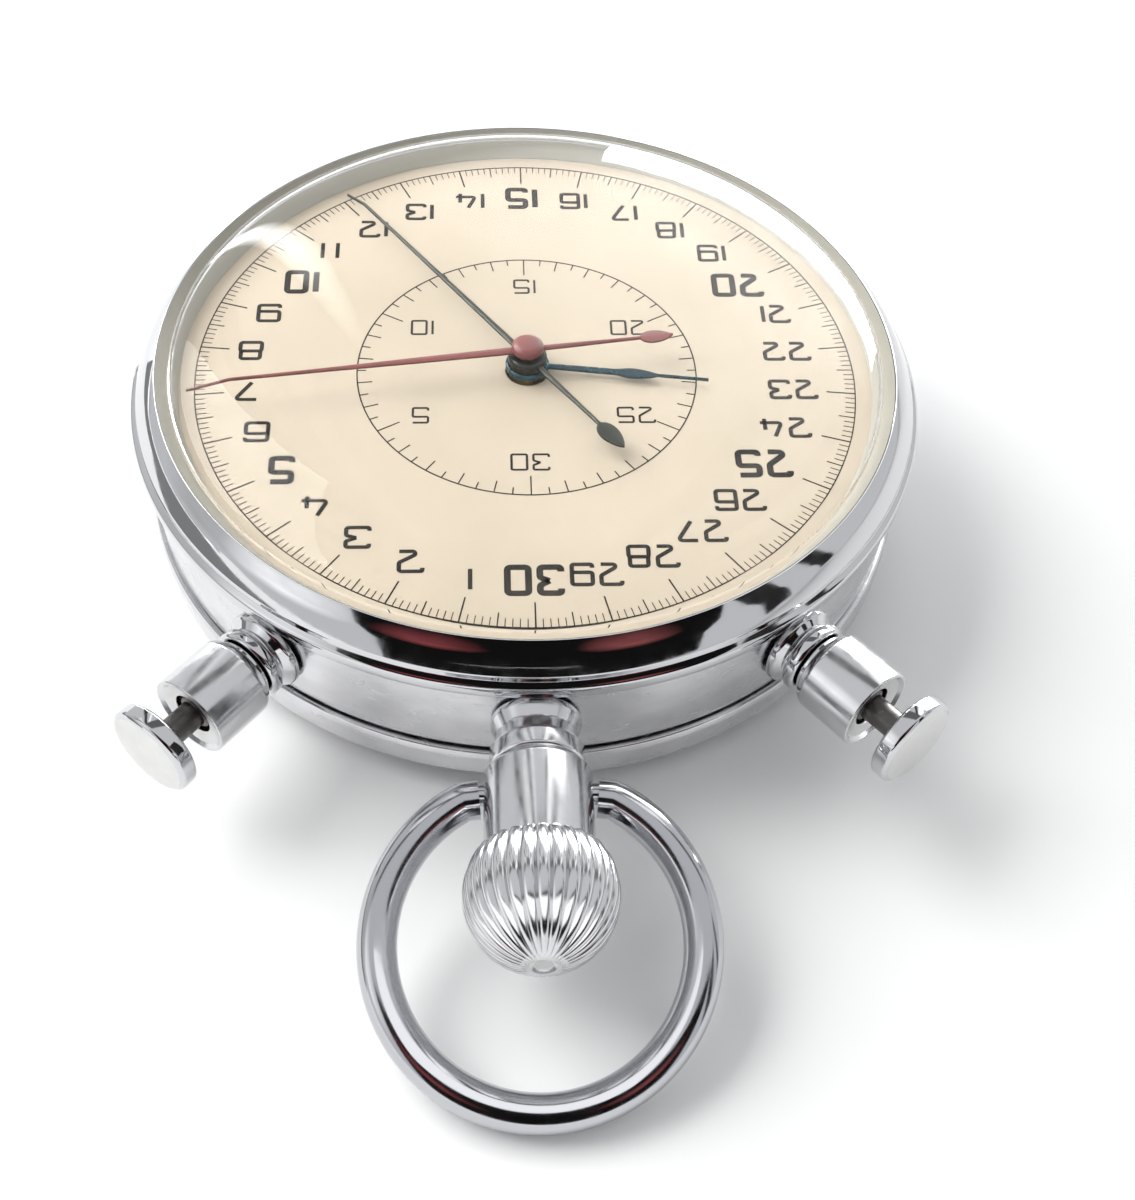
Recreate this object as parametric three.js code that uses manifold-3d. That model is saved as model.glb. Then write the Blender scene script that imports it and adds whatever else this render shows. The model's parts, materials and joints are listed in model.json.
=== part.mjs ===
// A mechanical split-seconds stopwatch, lying on its back with the dial up.
//
// Millimetres, +Z up. The origin is the middle of the flat outer face of the case back.
// The winding crown points along -Y, and the two pushers stand either side of it.
// Every sub-part is one named mesh, placed at rest; moving pieces stand clear of their neighbours.

import * as THREE from "three";
import { mergeVertices } from "three/addons/utils/BufferGeometryUtils.js";
import Module from "manifold-3d";

const wasm = await Module();
wasm.setup();

// ---------------------------------------------------------------- driving dimensions

const gap = 0.3; // clearance between neighbouring pieces
const caseRadius = 32.5; // outer bead of the bezel
const caseWallRadius = 31.6; // side of the middle case
const caseBoreRadius = 29.6;
const backTop = 5.3; // seam between case back and middle case
const middleTop = 12.7; // seam between middle case and bezel
const dialTop = 15;
const dialRadius = 28.7;
const dialThickness = 0.5;
const bezelTop = 17.45;
const crestRadius = 30.15; // top edge of the bezel
const crystalRadius = 29.2;
const crystalApex = 20;
const axisHeight = 9.5; // crown and pusher axes above the table
const pusherAngle = THREE.MathUtils.degToRad(39.5); // either side of the crown

const plateRadius = 26; // movement's main plate
const plateBottom = 11.2;
const plateTop = 13.2;
const bridgeBottom = 5.8;
const bridgeTop = 7;
const crownLayer = [4.9, 5.5]; // ratchet and crown wheels
const leverLayer = [3.1, 3.8]; // reset hammer, split lever, seconds heart cam
const splitLayer = [1.6, 2]; // split wheel and its clamps
const studEnd = 1.4; // lowest end of the studs that the levers turn on
const leverStud = 0.8; // radius of the studs of the levers
const clampStud = 0.7;
const pivotHole = 0.7; // radius of the holes for the arbors
const arborBottom = 6;
const arborTop = 12.4;
const wheelArbor = 0.4; // radius of the thin arbors

// Centres of the movement's axes in plan. The hands' common axis is at the origin.
const centre = [0, 0];
const barrelCentre = [-11.5, -9];
const crownWheelCentre = [0, -14.5];
const thirdCentre = [-7.146, 0.885];
const trainDirection = THREE.MathUtils.degToRad(68); // escape wheel, fork and balance lie in line
const escapeCentre = along(trainDirection, 6);
const forkCentre = along(trainDirection, 10.7);
const balanceCentre = along(trainDirection, 15.2);
const counterCentre = along(THREE.MathUtils.degToRad(-30), 7.8);
const hammerPivot = [-21.5, -3.5];
const splitLeverPivot = [21.5, -3.5];
const startLeverPivot = [6, -15];
const brakePivot = [17.5, 12];
const clickPivot = [-20.6, -14.2];
const columnCentre = [9.5, -12];
const clampPivots = { upper: [6.8, 2.6], lower: [6.8, -2.6] };

// Gears: number of teeth and module. Meshing pairs share a module.
const barrelGear = { teeth: 30, module: 0.6 };
const thirdPinion = { teeth: 6, module: 0.6 };
const thirdGear = { teeth: 30, module: 0.4 };
const secondsPinion = { teeth: 6, module: 0.4 };
const secondsGear = { teeth: 24, module: 0.4 };
const escapePinion = { teeth: 6, module: 0.4 };
const ratchetGear = { teeth: 21, module: 0.75 };
const windingGear = { teeth: 8, module: 0.75 };
const crownGear = { teeth: 13, module: 0.75 };
const minuteGear = { teeth: 20, module: 0.6 };
const counterGear = { teeth: 6, module: 0.6 };

// Readings that the hands show at rest, on the dial's scale of 30.
const dialUnits = 30;
const secondsReading = 12.05;
const splitReading = 6.8;
const minuteReading = 23.1;

const fine = 28; // segments round the case
const medium = 20; // segments round the movement's larger circles
const round = 12; // segments round a turned piece
const small = 6; // segments round a stud, pin or hole

// ---------------------------------------------------------------- materials

function finish(color, roughness, metalness) {
  return new THREE.MeshStandardMaterial({ color, roughness, metalness });
}

const chrome = finish(0xd4d6d9, 0.08, 1);
const steel = finish(0xa9abad, 0.3, 1);
const darkSteel = finish(0x4c4a48, 0.35, 1);
const springSteel = finish(0x6d7380, 0.3, 1);
const brass = finish(0xc9a75a, 0.32, 1);
const nickel = finish(0xc3c0b6, 0.35, 1);
const acrylic = finish(0xf4f6f6, 0.05, 0);
const cream = finish(0xf3e7d0, 0.55, 0);
const red = finish(0xb5303a, 0.45, 0.1);
const blued = finish(0x2c3a45, 0.3, 0.8);

// ---------------------------------------------------------------- making solids

function along(angle, distance) {
  return [distance * Math.cos(angle), distance * Math.sin(angle)];
}

function toSolid(geometry) {
  const bare = geometry.clone();
  bare.deleteAttribute("normal");
  bare.deleteAttribute("uv");
  const merged = mergeVertices(bare, 1e-4);
  const vertProperties = new Float32Array(merged.attributes.position.array);
  const triVerts = new Uint32Array(merged.index.array);
  return new wasm.Manifold(new wasm.Mesh({ numProp: 3, vertProperties, triVerts }));
}

function toGeometry(solid) {
  const mesh = solid.getMesh();
  const geometry = new THREE.BufferGeometry();
  geometry.setAttribute("position", new THREE.BufferAttribute(mesh.vertProperties, 3));
  geometry.setIndex(new THREE.BufferAttribute(mesh.triVerts, 1));
  geometry.computeVertexNormals();
  return geometry;
}

function join(first, ...others) {
  return toGeometry(others.reduce((sum, other) => sum.add(toSolid(other)), toSolid(first)));
}

function cut(first, ...others) {
  return toGeometry(others.reduce((rest, other) => rest.subtract(toSolid(other)), toSolid(first)));
}

// A body turned about the Z axis from [radius, height] points, in either direction round.
function lathe(points, segments = round) {
  const profile = points.map(([radius, height]) => new THREE.Vector2(radius, height));
  if (THREE.ShapeUtils.area(profile) < 0) profile.reverse();
  const endsOnAxis = profile[0].x === 0 && profile.at(-1).x === 0;
  if (!endsOnAxis) profile.push(profile[0].clone());
  return new THREE.LatheGeometry(profile, segments).rotateX(Math.PI / 2);
}

// The same about the -Y axis, from [radius, distance from the watch's centre] points.
function turned(points, segments = round) {
  return lathe(points, segments).rotateX(Math.PI / 2);
}

function disc(radius, bottom, top, segments = round) {
  return lathe([[0, bottom], [radius, bottom], [radius, top], [0, top]], segments);
}

function ring(inner, outer, bottom, top, segments = round) {
  return lathe([[inner, bottom], [outer, bottom], [outer, top], [inner, top]], segments);
}

function stud([x, y], radius, bottom, top) {
  return disc(radius, bottom, top, small).translate(x, y, 0);
}

function plate(shape, bottom, top, curveSegments = 3) {
  const options = { depth: top - bottom, bevelEnabled: false, curveSegments };
  return new THREE.ExtrudeGeometry(shape, options).translate(0, 0, bottom);
}

// A flat bar from a to b with round ends of two radii.
function bar(a, b, radiusA, radiusB, bottom, top) {
  const reach = Math.hypot(b[0] - a[0], b[1] - a[1]);
  const heading = Math.atan2(b[1] - a[1], b[0] - a[0]);
  const lean = Math.acos((radiusA - radiusB) / reach);
  const shape = new THREE.Shape();
  shape.absarc(a[0], a[1], radiusA, heading + lean, heading - lean + 2 * Math.PI, false);
  shape.absarc(b[0], b[1], radiusB, heading - lean, heading + lean, false);
  return plate(shape, bottom, top);
}

// ---------------------------------------------------------------- gears

const addendum = 0.6; // of the module
const dedendum = 1.1;
const tipShare = 0.15; // of a tooth's pitch

function pitchRadius(gear) {
  return (gear.teeth * gear.module) / 2;
}

// A flat gear about its own axis: pointed gaps and blunt tooth tips, the first tooth at phase.
function gearPlate(gear, phase, bottom, top, holes = []) {
  const pitch = (2 * Math.PI) / gear.teeth;
  const tip = pitchRadius(gear) + addendum * gear.module;
  const root = pitchRadius(gear) - dedendum * gear.module;
  const outline = [];
  for (let tooth = 0; tooth < gear.teeth; tooth += 1) {
    const middle = phase + tooth * pitch;
    const halfTip = (tipShare * pitch) / 2;
    outline.push(new THREE.Vector2(...along(middle - halfTip, tip)));
    outline.push(new THREE.Vector2(...along(middle + halfTip, tip)));
    outline.push(new THREE.Vector2(...along(middle + pitch / 2, root)));
  }
  const shape = new THREE.Shape(outline);
  for (const [x, y, radius] of holes) {
    shape.holes.push(new THREE.Path().absarc(x, y, radius, 0, 2 * Math.PI, true));
  }
  return plate(shape, bottom, top);
}

// The phase that puts the driven gear's teeth in the driver's gaps on their line of centres.
function phaseInMesh(driver, driverPhase, driverAt, driven, drivenAt) {
  const heading = Math.atan2(drivenAt[1] - driverAt[1], drivenAt[0] - driverAt[0]);
  const driverPitch = (2 * Math.PI) / driver.teeth;
  const drivenPitch = (2 * Math.PI) / driven.teeth;
  const offset = driverPhase - heading;
  const lead = offset - driverPitch * Math.round(offset / driverPitch);
  return heading + Math.PI - (lead * driver.teeth) / driven.teeth - drivenPitch / 2;
}

// Round holes that lighten a wheel, evenly spaced on a circle.
function crossings(count, circle, radius) {
  const holes = [];
  for (let hole = 0; hole < count; hole += 1) {
    holes.push([...along((2 * Math.PI * hole) / count, circle), radius]);
  }
  return holes;
}

// A flat spiral strip with evenly spaced turns.
function spiral(innerRadius, outerRadius, turns, thickness, bottom, top) {
  const stepsPerTurn = 12;
  const steps = Math.round(turns * stepsPerTurn);
  const edge = (offset) => {
    const points = [];
    for (let step = 0; step <= steps; step += 1) {
      const share = step / steps;
      const radius = innerRadius + (outerRadius - innerRadius) * share + offset;
      points.push(new THREE.Vector2(...along(share * turns * 2 * Math.PI, radius)));
    }
    return points;
  };
  const outside = edge(thickness / 2);
  const inside = edge(-thickness / 2).reverse();
  return plate(new THREE.Shape([...outside, ...inside]), bottom, top);
}

// ---------------------------------------------------------------- the scene

const stopwatch = new THREE.Group();

function add(name, geometry, material, at = centre, parent = stopwatch) {
  const mesh = new THREE.Mesh(geometry, material);
  mesh.name = name;
  mesh.position.set(at[0], at[1], 0);
  parent.add(mesh);
  return mesh;
}

// ---------------------------------------------------------------- case

const flatRadius = 26; // of the back's flat face, on the table
const tubeHoleRadius = 2.9; // in the case side, for the crown's and pushers' tubes
const tubeStart = 29.9; // inner ends of those tubes, from the watch's centre
const flangeStart = 32;

function radialTool(radius, from, to, angle) {
  return turned([[0, from], [radius, from], [radius, to], [0, to]])
    .translate(0, 0, axisHeight)
    .rotateZ(angle);
}

function makeCase() {
  const back = [
    [0, 0], [flatRadius, 0], [30.2, 0.9], [31.5, 2.4], [31.9, 3.6], [31.9, backTop],
    [30.9, backTop], [30.6, 2.7], [29.4, 1.9], [flatRadius, 1.1], [0, 1.1],
  ];
  add("case_back", lathe(back, fine), chrome);

  const middle = ring(caseBoreRadius, caseWallRadius, backTop + gap, middleTop, fine);
  const holes = [0, pusherAngle, -pusherAngle].map((angle) =>
    radialTool(tubeHoleRadius, caseBoreRadius - 2, caseRadius + 2, angle),
  );
  add("case_middle", cut(middle, ...holes), chrome);

  const seat = dialRadius + 0.05;
  const bore = crystalRadius + gap;
  const skirtRadius = 29.3;
  const bezel = [
    [seat, dialTop + gap], [skirtRadius, dialTop], [skirtRadius, middleTop + gap],
    [caseWallRadius, middleTop + gap], [caseRadius, 13.5], [caseRadius, 14.3],
    [31.98, 14.8], [31.93, 15.15], [31.05, 16.6], [crestRadius, bezelTop],
    [bore, bezelTop - 0.7], [bore, dialTop + 1], [seat, dialTop + 1],
  ];
  add("bezel", lathe(bezel, fine), chrome);
}

// A dome that is steep at its edge and nearly flat in the middle.
function makeCrystal() {
  const edgeBottom = dialTop + 1.3;
  const edgeTop = bezelTop - 0.3;
  const thickness = 1.2;
  const innerWall = 0.5; // upright part of the inner face
  const rings = 4;
  const dome = (radius, edge, apex) => {
    const points = [];
    for (let step = 0; step <= rings; step += 1) {
      const turn = (Math.PI / 2) * (step / rings);
      const reach = step === rings ? 0 : radius * Math.sqrt(Math.cos(turn));
      points.push([reach, edge + (apex - edge) * Math.sin(turn)]);
    }
    return points;
  };
  const innerRadius = crystalRadius - 1;
  const outside = dome(crystalRadius, edgeTop, crystalApex);
  const inside = dome(innerRadius, edgeBottom + innerWall, crystalApex - thickness).reverse();
  const edge = [[innerRadius, edgeBottom], [crystalRadius, edgeBottom]];
  add("crystal", lathe([...inside, ...edge, ...outside], fine), acrylic);
}

function makeMovementRing() {
  const bottom = plateBottom + 0.1;
  const ringBody = ring(plateRadius + gap, caseBoreRadius - gap, bottom, middleTop, fine);
  add("movement_ring", ringBody, nickel);
}

// ---------------------------------------------------------------- crown and bow

const ballCentre = 46.3; // from the watch's centre
const ballRadius = 5.53;
const neckRadius = 3.95;
const neckEnd = 44.2;
const bowPivot = 38.1;
const bowHoleRadius = 1.1;
const stemRadius = 0.9;
const stemSquare = 0.75; // half the side of the stem's square end
const stemTip = 17;

function makePendant() {
  const boreRadius = 2.3;
  const profile = [
    [1.2, tubeStart], [2.6, tubeStart], [2.6, flangeStart], [3.4, flangeStart], [3, 32.9],
    [3.1, 34.3], [3.5, 34.6], [3.5, 35.7], [3.2, 36], [neckRadius, 36.7], [neckRadius, neckEnd],
    [boreRadius, neckEnd], [boreRadius, 32.8], [1.2, 32.8],
  ];
  const pinHoles = disc(bowHoleRadius, -5, 5, small).rotateY(Math.PI / 2).translate(0, -bowPivot, 0);
  const tube = cut(turned(profile), pinHoles).translate(0, 0, axisHeight);
  add("pendant_tube", tube, chrome);
}

// The bow is a round ring whose ends turn in to two pins, hanging until it rests on the table.
function makeBow() {
  const wireRadius = 1.42;
  const ringRadius = 11.45;
  const ringOffset = 10.6; // from the pivot to the ring's centre
  const endX = 4.9; // where the ring ends beside the neck
  const endAngle = Math.asin(endX / ringRadius);
  const arc = new THREE.EllipseCurve(
    0, -ringOffset, ringRadius, ringRadius,
    Math.PI / 2 + endAngle, Math.PI / 2 - endAngle + 2 * Math.PI, false,
  );
  const steps = 28;
  const points = arc.getPoints(steps).map((point) => new THREE.Vector3(point.x, point.y, 0));
  const section = new THREE.Shape().absarc(0, 0, wireRadius, 0, 2 * Math.PI, false);
  const wire = new THREE.ExtrudeGeometry(section, {
    steps, curveSegments: 4, extrudePath: new THREE.CatmullRomCurve3(points),
  });
  const pin = (side) =>
    disc(bowHoleRadius - gap, 2.7, 5, small).rotateY((side * Math.PI) / 2);
  const droop = Math.asin((axisHeight - wireRadius - 0.02) / (ringOffset + ringRadius));
  const bow = join(wire, pin(1), pin(-1)).rotateX(droop);
  add("bow_ring", bow.translate(0, -bowPivot, axisHeight), chrome);
}

// A hollow fluted ball whose skirt slides over the neck, with a flat at its outer pole.
function makeCrown() {
  const flutes = 30;
  const fluteDepth = 0.28;
  const rings = 4;
  const skirt = 43.3;
  const poleFlat = 0.9;
  const start = Math.acos((skirt - ballCentre) / ballRadius);
  const end = Math.asin(poleFlat / ballRadius);
  const profile = [[0, skirt]];
  for (let step = 0; step <= rings; step += 1) {
    const polar = start + ((end - start) * step) / rings;
    profile.push([ballRadius * Math.sin(polar), ballCentre + ballRadius * Math.cos(polar)]);
  }
  profile.push([0, profile.at(-1)[1] - 0.3]);
  const ball = fluted(lathe(profile, 2 * flutes), flutes, fluteDepth, poleFlat);
  const cavity = lathe([
    [0, skirt - 1], [neckRadius + gap, skirt - 1], [neckRadius + gap, 46.1], [1.9, 46.1],
    [1.2, 46.1], [1.2, 49], [0, 49],
  ]);
  const hub = ring(1.2, 1.9, 42, 46.4);
  const crown = toGeometry(toSolid(cut(ball, cavity)).add(toSolid(hub)));
  add("crown", crown.rotateX(Math.PI / 2).translate(0, 0, axisHeight), chrome);
}

// Pulls in every other line of vertices round the Z axis, fading out towards the pole's flat.
function fluted(geometry, flutes, depth, poleFlat) {
  const position = geometry.attributes.position;
  for (let i = 0; i < position.count; i += 1) {
    const x = position.getX(i);
    const y = position.getY(i);
    const radius = Math.hypot(x, y);
    const line = Math.round((Math.atan2(y, x) / Math.PI) * flutes);
    if (radius > poleFlat && Math.abs(line) % 2 === 1) {
      const share = 1 - (depth * Math.min(1, (radius - poleFlat) / 2)) / radius;
      position.setXY(i, x * share, y * share);
    }
  }
  return geometry;
}

function makeStem() {
  const shoulder = 21.2;
  const side = 2 * stemSquare;
  const shaft = turned([[0, shoulder - 0.1], [stemRadius, shoulder - 0.1], [stemRadius, 48.7], [0, 48.7]]);
  const length = shoulder - stemTip;
  const square = new THREE.BoxGeometry(side, length, side).translate(0, -(stemTip + length / 2), 0);
  add("crown_stem", join(shaft, square).translate(0, 0, axisHeight), steel);

  const spring = turned([[1.3, 33.1], [2, 33.1], [2, 41.7], [1.3, 41.7]]);
  add("crown_spring", spring.translate(0, 0, axisHeight), springSteel);
}

function makeWindingPinion() {
  const from = 18.4;
  const to = 20.6;
  const bore = 2 * (stemSquare + gap);
  const blank = gearPlate(windingGear, 0, from, to);
  const hole = new THREE.BoxGeometry(bore, bore, 4).translate(0, 0, (from + to) / 2);
  const pinion = cut(blank, hole).rotateX(Math.PI / 2).translate(0, 0, axisHeight);
  add("winding_pinion", pinion, steel);
}

// ---------------------------------------------------------------- pushers

const plungerRadius = 1.4;
const plungerBore = plungerRadius + gap;
const visibleStem = 1.1; // plunger's radius between the sleeve and the cap

function makePusher(side, angle) {
  const group = new THREE.Group();
  group.position.z = axisHeight;
  group.rotation.z = angle;
  stopwatch.add(group);
  const piece = (name, profile, material) =>
    add(side + name, turned(profile), material, centre, group);

  piece("_pusher_tube", [
    [plungerBore, tubeStart], [2.5, tubeStart], [2.5, flangeStart], [3.3, flangeStart],
    [2.6, 33.1], [2.95, 33.3], [2.95, 34], [2.4, 34.2], [2.4, 36], [plungerBore, 36],
  ], chrome);
  piece("_pusher_sleeve", [
    [2.7, 34.7], [3, 34.7], [3.3, 35.3], [3.3, 40.1], [2.6, 40.1], [2.4, 39.7],
    [plungerBore, 39.7], [plungerBore, 39.2], [2.7, 39.2],
  ], chrome);
  piece("_pusher_plunger", [
    [0, 28], [plungerRadius, 28], [plungerRadius, 38.1], [2.4, 38.1], [2.4, 38.9],
    [plungerRadius, 38.9], [plungerRadius, 39.5], [visibleStem, 39.6], [visibleStem, 42.5],
    [0.8, 42.5], [0.8, 43.4], [0, 43.4],
  ], darkSteel);
  piece("_pusher_cap", [
    [0, 43.7], [1.1, 43.7], [1.1, 42.8], [3.4, 42.8], [3.65, 43], [3.65, 44], [3.4, 44.25], [0, 44.5],
  ], chrome);
  piece("_pusher_spring", [[plungerBore, 36.3], [2.35, 36.3], [2.35, 37.8], [plungerBore, 37.8]],
    springSteel);
}

// ---------------------------------------------------------------- dial and hands

const minuteTube = { inner: 1.15, outer: 1.5 };
const secondsTube = { inner: 0.55, outer: 0.85 };
const splitArborRadius = 0.25;

function makeDial() {
  const edge = 0.15;
  const profile = [
    [minuteTube.outer + gap, dialTop - dialThickness], [dialRadius, dialTop - dialThickness],
    [dialRadius, dialTop - edge],
    [dialRadius - edge, dialTop], [minuteTube.outer + gap, dialTop],
  ];
  const feet = dialFeet.map((foot) => stud(foot, 0.7, plateBottom + 0.4, dialTop - 0.2));
  add("dial", join(lathe(profile, fine), ...feet), cream);
}

const dialFeet = [[-19, 11], [20, -9]];

// Points a shape drawn along -Y at a reading of the dial.
function pointAt(geometry, reading) {
  return geometry.rotateZ((-2 * Math.PI * reading) / dialUnits);
}

// A hand's blade from [distance, half width] stations, negative distances on its tail.
function blade(stations, bottom, top) {
  const right = stations.map(([distance, half]) => new THREE.Vector2(half, -distance));
  const left = [...stations].reverse().map(([distance, half]) => new THREE.Vector2(-half, -distance));
  return plate(new THREE.Shape([...right, ...left].reverse()), bottom, top);
}

const bendFrom = 24.2; // from the hands' axis to where a long hand bends down
const bendDrop = 0.75; // at its tip
const bendHalf = 0.13; // half the blade's width there

// A long hand's blade: straight to the bend, then sloping down towards the dial.
function bentBlade(stations, tip, bottom, top) {
  const straight = blade([...stations, [bendFrom, bendHalf]], bottom, top);
  const start = bendFrom - gap;
  const sloping = blade([[start, bendHalf], [tip, 0.09]], bottom, top);
  const position = sloping.attributes.position;
  for (let i = 0; i < position.count; i += 1) {
    const share = (-position.getY(i) - start) / (tip - start);
    position.setZ(i, position.getZ(i) - bendDrop * share);
  }
  return join(straight, sloping);
}

function makeHands() {
  const minuteLeaf = [[1.9, 0.3], [7.3, 0.28], [8.6, 0.5], [10.8, 0.1], [15, 0.07]];
  const minuteBlade = blade(minuteLeaf, 15.55, 15.85);
  const minuteHub = ring(minuteTube.outer + gap, 2.2, 15.4, 15.95, round);
  const minuteBore = disc(minuteTube.outer + gap, 15, 16.2, round);
  add("minute_hand", pointAt(join(cut(minuteBlade, minuteBore), minuteHub), minuteReading), blued);

  const secondsTail = [[-12.75, 0.05], [-11.6, 0.72], [-10.4, 0.7], [-9.6, 0.16], [0, 0.25]];
  const secondsBlade = bentBlade(secondsTail, 27, 16.45, 16.7);
  const secondsBore = disc(secondsTube.outer + gap, 15, 18, round);
  const secondsHub = disc(1.6, 16.25, 16.85, round);
  const seconds = cut(join(secondsBlade, secondsHub), secondsBore);
  add("seconds_hand", pointAt(seconds, secondsReading), blued);

  const splitTail = [[-12.2, 0.05], [-11.2, 0.62], [-10.2, 0.6], [-9.5, 0.15], [0, 0.36]];
  const splitBlade = bentBlade(splitTail, 27.7, 17.25, 17.5);
  const cap = lathe([
    [0, 17.6], [splitArborRadius + gap, 17.6], [splitArborRadius + gap, 17.15], [1.3, 17.15],
    [1.3, 17.8], [0.9, 18.05], [0, 18.1],
  ]);
  const bore = disc(splitArborRadius + gap, 17, 17.6, round);
  add("split_seconds_hand", pointAt(join(cut(splitBlade, bore), cap), splitReading), red);
}

// ---------------------------------------------------------------- plates and bridges

const post = 1.3; // radius of the bridges' feet
const postTop = plateBottom - gap;

function makeMainPlate() {
  const staffHole = (at, radius) => stud(at, radius, plateBottom - 1, plateTop + 1);
  const pinionSlot = new THREE.BoxGeometry(7.4, 2.9, 6).translate(0, -19.5, plateTop);
  const body = cut(
    disc(plateRadius, plateBottom, plateTop, fine),
    staffHole(centre, secondsTube.outer + gap),
    staffHole(barrelCentre, 1.3), staffHole(thirdCentre, 0.8), staffHole(escapeCentre, pivotHole),
    staffHole(forkCentre, pivotHole), staffHole(balanceCentre, pivotHole),
    staffHole(counterCentre, pivotHole),
    staffHole(columnCentre, 0.9), staffHole(dialFeet[0], 1), staffHole(dialFeet[1], 1),
    pinionSlot,
  );
  const lever = (at, bottom) => stud(at, leverStud, bottom, plateBottom + 0.2);
  const studs = [
    lever(hammerPivot, leverLayer[0] - 0.3), lever(splitLeverPivot, leverLayer[0] - 0.3),
    lever(clickPivot, crownLayer[0] - 0.3), lever(startLeverPivot, 8.6), lever(brakePivot, 7.7),
  ];
  add("main_plate", join(body, ...studs), brass);
}

function makeBarrelBridge() {
  const bridge = (a, b, ra, rb) => bar(a, b, ra, rb, bridgeBottom, bridgeTop);
  const feet = [[-22.3, -9.5], [-6.5, -19.3], [3.8, -8]];
  const arms = feet.map((foot) => bridge(barrelCentre, foot, 4.5, 1.8));
  const posts = feet.map((foot) => stud(foot, post, bridgeBottom, postTop));
  const body = join(...arms, bridge(barrelCentre, crownWheelCentre, 4.5, 2.8), ...posts);
  const holes = [barrelCentre, crownWheelCentre].map((at) => stud(at, 1.35, 5, 8));
  add("barrel_bridge", cut(body, ...holes), nickel);
}

function makeTrainBridge() {
  const bridge = (a, b, ra, rb) => bar(a, b, ra, rb, bridgeBottom, bridgeTop);
  const feet = [[-15.5, 6.5], [-3.5, 11.5], [10.5, -3]];
  const arms = [
    bridge(thirdCentre, feet[0], 2.4, 1.8), bridge(thirdCentre, feet[1], 2.4, 1.8),
    bridge(centre, feet[2], 3, 1.8), bridge(centre, clampPivots.upper, 3, 1.5),
    bridge(centre, thirdCentre, 3, 2.4), bridge(centre, escapeCentre, 3, 2),
  ];
  const posts = feet.map((foot) => stud(foot, post, bridgeBottom, postTop));
  const studs = Object.values(clampPivots).map((at) => stud(at, clampStud, studEnd, bridgeBottom + 0.2));
  const holes = [
    stud(centre, secondsTube.outer + gap, 5, 8), stud(thirdCentre, 0.8, 5, 8),
    stud(escapeCentre, pivotHole, 5, 8),
  ];
  add("train_bridge", cut(join(...arms, ...posts, ...studs), ...holes), nickel);
}

function makeCocks() {
  const across = trainDirection + Math.PI / 2;
  const side = (distance) => {
    const [x, y] = along(across, distance);
    return [forkCentre[0] + x, forkCentre[1] + y];
  };
  const palletFeet = [side(4.4), side(-4.4)];
  const palletBar = bar(...palletFeet, 1.1, 1.1, 9, 9.5);
  const palletPosts = palletFeet.map((foot) => stud(foot, 0.9, 9, postTop));
  const palletCock = cut(join(palletBar, ...palletPosts), stud(forkCentre, pivotHole, 8, 10));
  add("pallet_cock", palletCock, nickel);

  const foot = along(trainDirection, 23.4);
  const balanceBar = bar(balanceCentre, foot, 2.6, 1.6, bridgeBottom, bridgeTop);
  const balanceCock = cut(join(balanceBar, stud(foot, post, bridgeBottom, postTop)),
    stud(balanceCentre, pivotHole, 5, 8));
  add("balance_cock", balanceCock, nickel);
}

// ---------------------------------------------------------------- winding and power

function makeBarrel() {
  const floor = 8;
  const teeth = gearPlate(barrelGear, 0, 7.5, floor, [[0, 0, 1.5]]);
  const wall = ring(7.5, 8, 7.7, 9.8, medium);
  add("barrel", join(teeth, wall), brass, barrelCentre);
  add("barrel_cover", ring(1.5, 7.1, 9.35, 9.7, medium), brass, barrelCentre);
  add("mainspring", spiral(3.1, 6.9, 3, 0.35, 8.3, 9.05), springSteel, barrelCentre);
  const arbor = [
    [0, 6.4], [0.8, 6.4], [0.8, 4.8], [1.05, 4.8], [1.05, 8.3], [2.2, 8.3], [2.2, 9.05],
    [1, 9.05], [1, arborTop], [0, arborTop],
  ];
  add("barrel_arbor", lathe(arbor), steel, barrelCentre);
}

function headedScrew(headRadius, shankRadius, headBottom, headTop, shankTop) {
  const profile = [
    [0, headBottom], [headRadius, headBottom], [headRadius, headTop], [shankRadius, headTop],
    [shankRadius, shankTop], [0, shankTop],
  ];
  const slot = new THREE.BoxGeometry(2 * headRadius + 1, 0.3, 0.3).translate(0, 0, headBottom);
  return cut(lathe(profile, small), slot);
}

const ratchetPhase = 0;

function makeWindingWheels() {
  const [bottom, top] = crownLayer;
  const ratchet = gearPlate(ratchetGear, ratchetPhase, bottom, top, [[0, 0, 1.4]]);
  add("ratchet_wheel", ratchet, steel, barrelCentre);
  add("ratchet_screw", headedScrew(2.2, 0.5, 4.1, 4.5, 6.1), blued, barrelCentre);
  const phase = phaseInMesh(ratchetGear, ratchetPhase, barrelCentre, crownGear, crownWheelCentre);
  const crownWheel = gearPlate(crownGear, phase, bottom, top, [[0, 0, 1.35]]);
  add("crown_wheel", crownWheel, steel, crownWheelCentre);
  add("crown_wheel_screw", headedScrew(2, 1, 4.1, 4.5, 6.8), blued, crownWheelCentre);

  const tip = [-16.2, -16.7];
  const click = cut(
    join(bar(clickPivot, tip, 1.5, 0.4, bottom, top), stud(clickPivot, 1.5, bottom, top)),
    stud(clickPivot, leverStud + gap, bottom - 1, top + 1),
  );
  add("click", click, steel);
}

// ---------------------------------------------------------------- train and escapement

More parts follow.
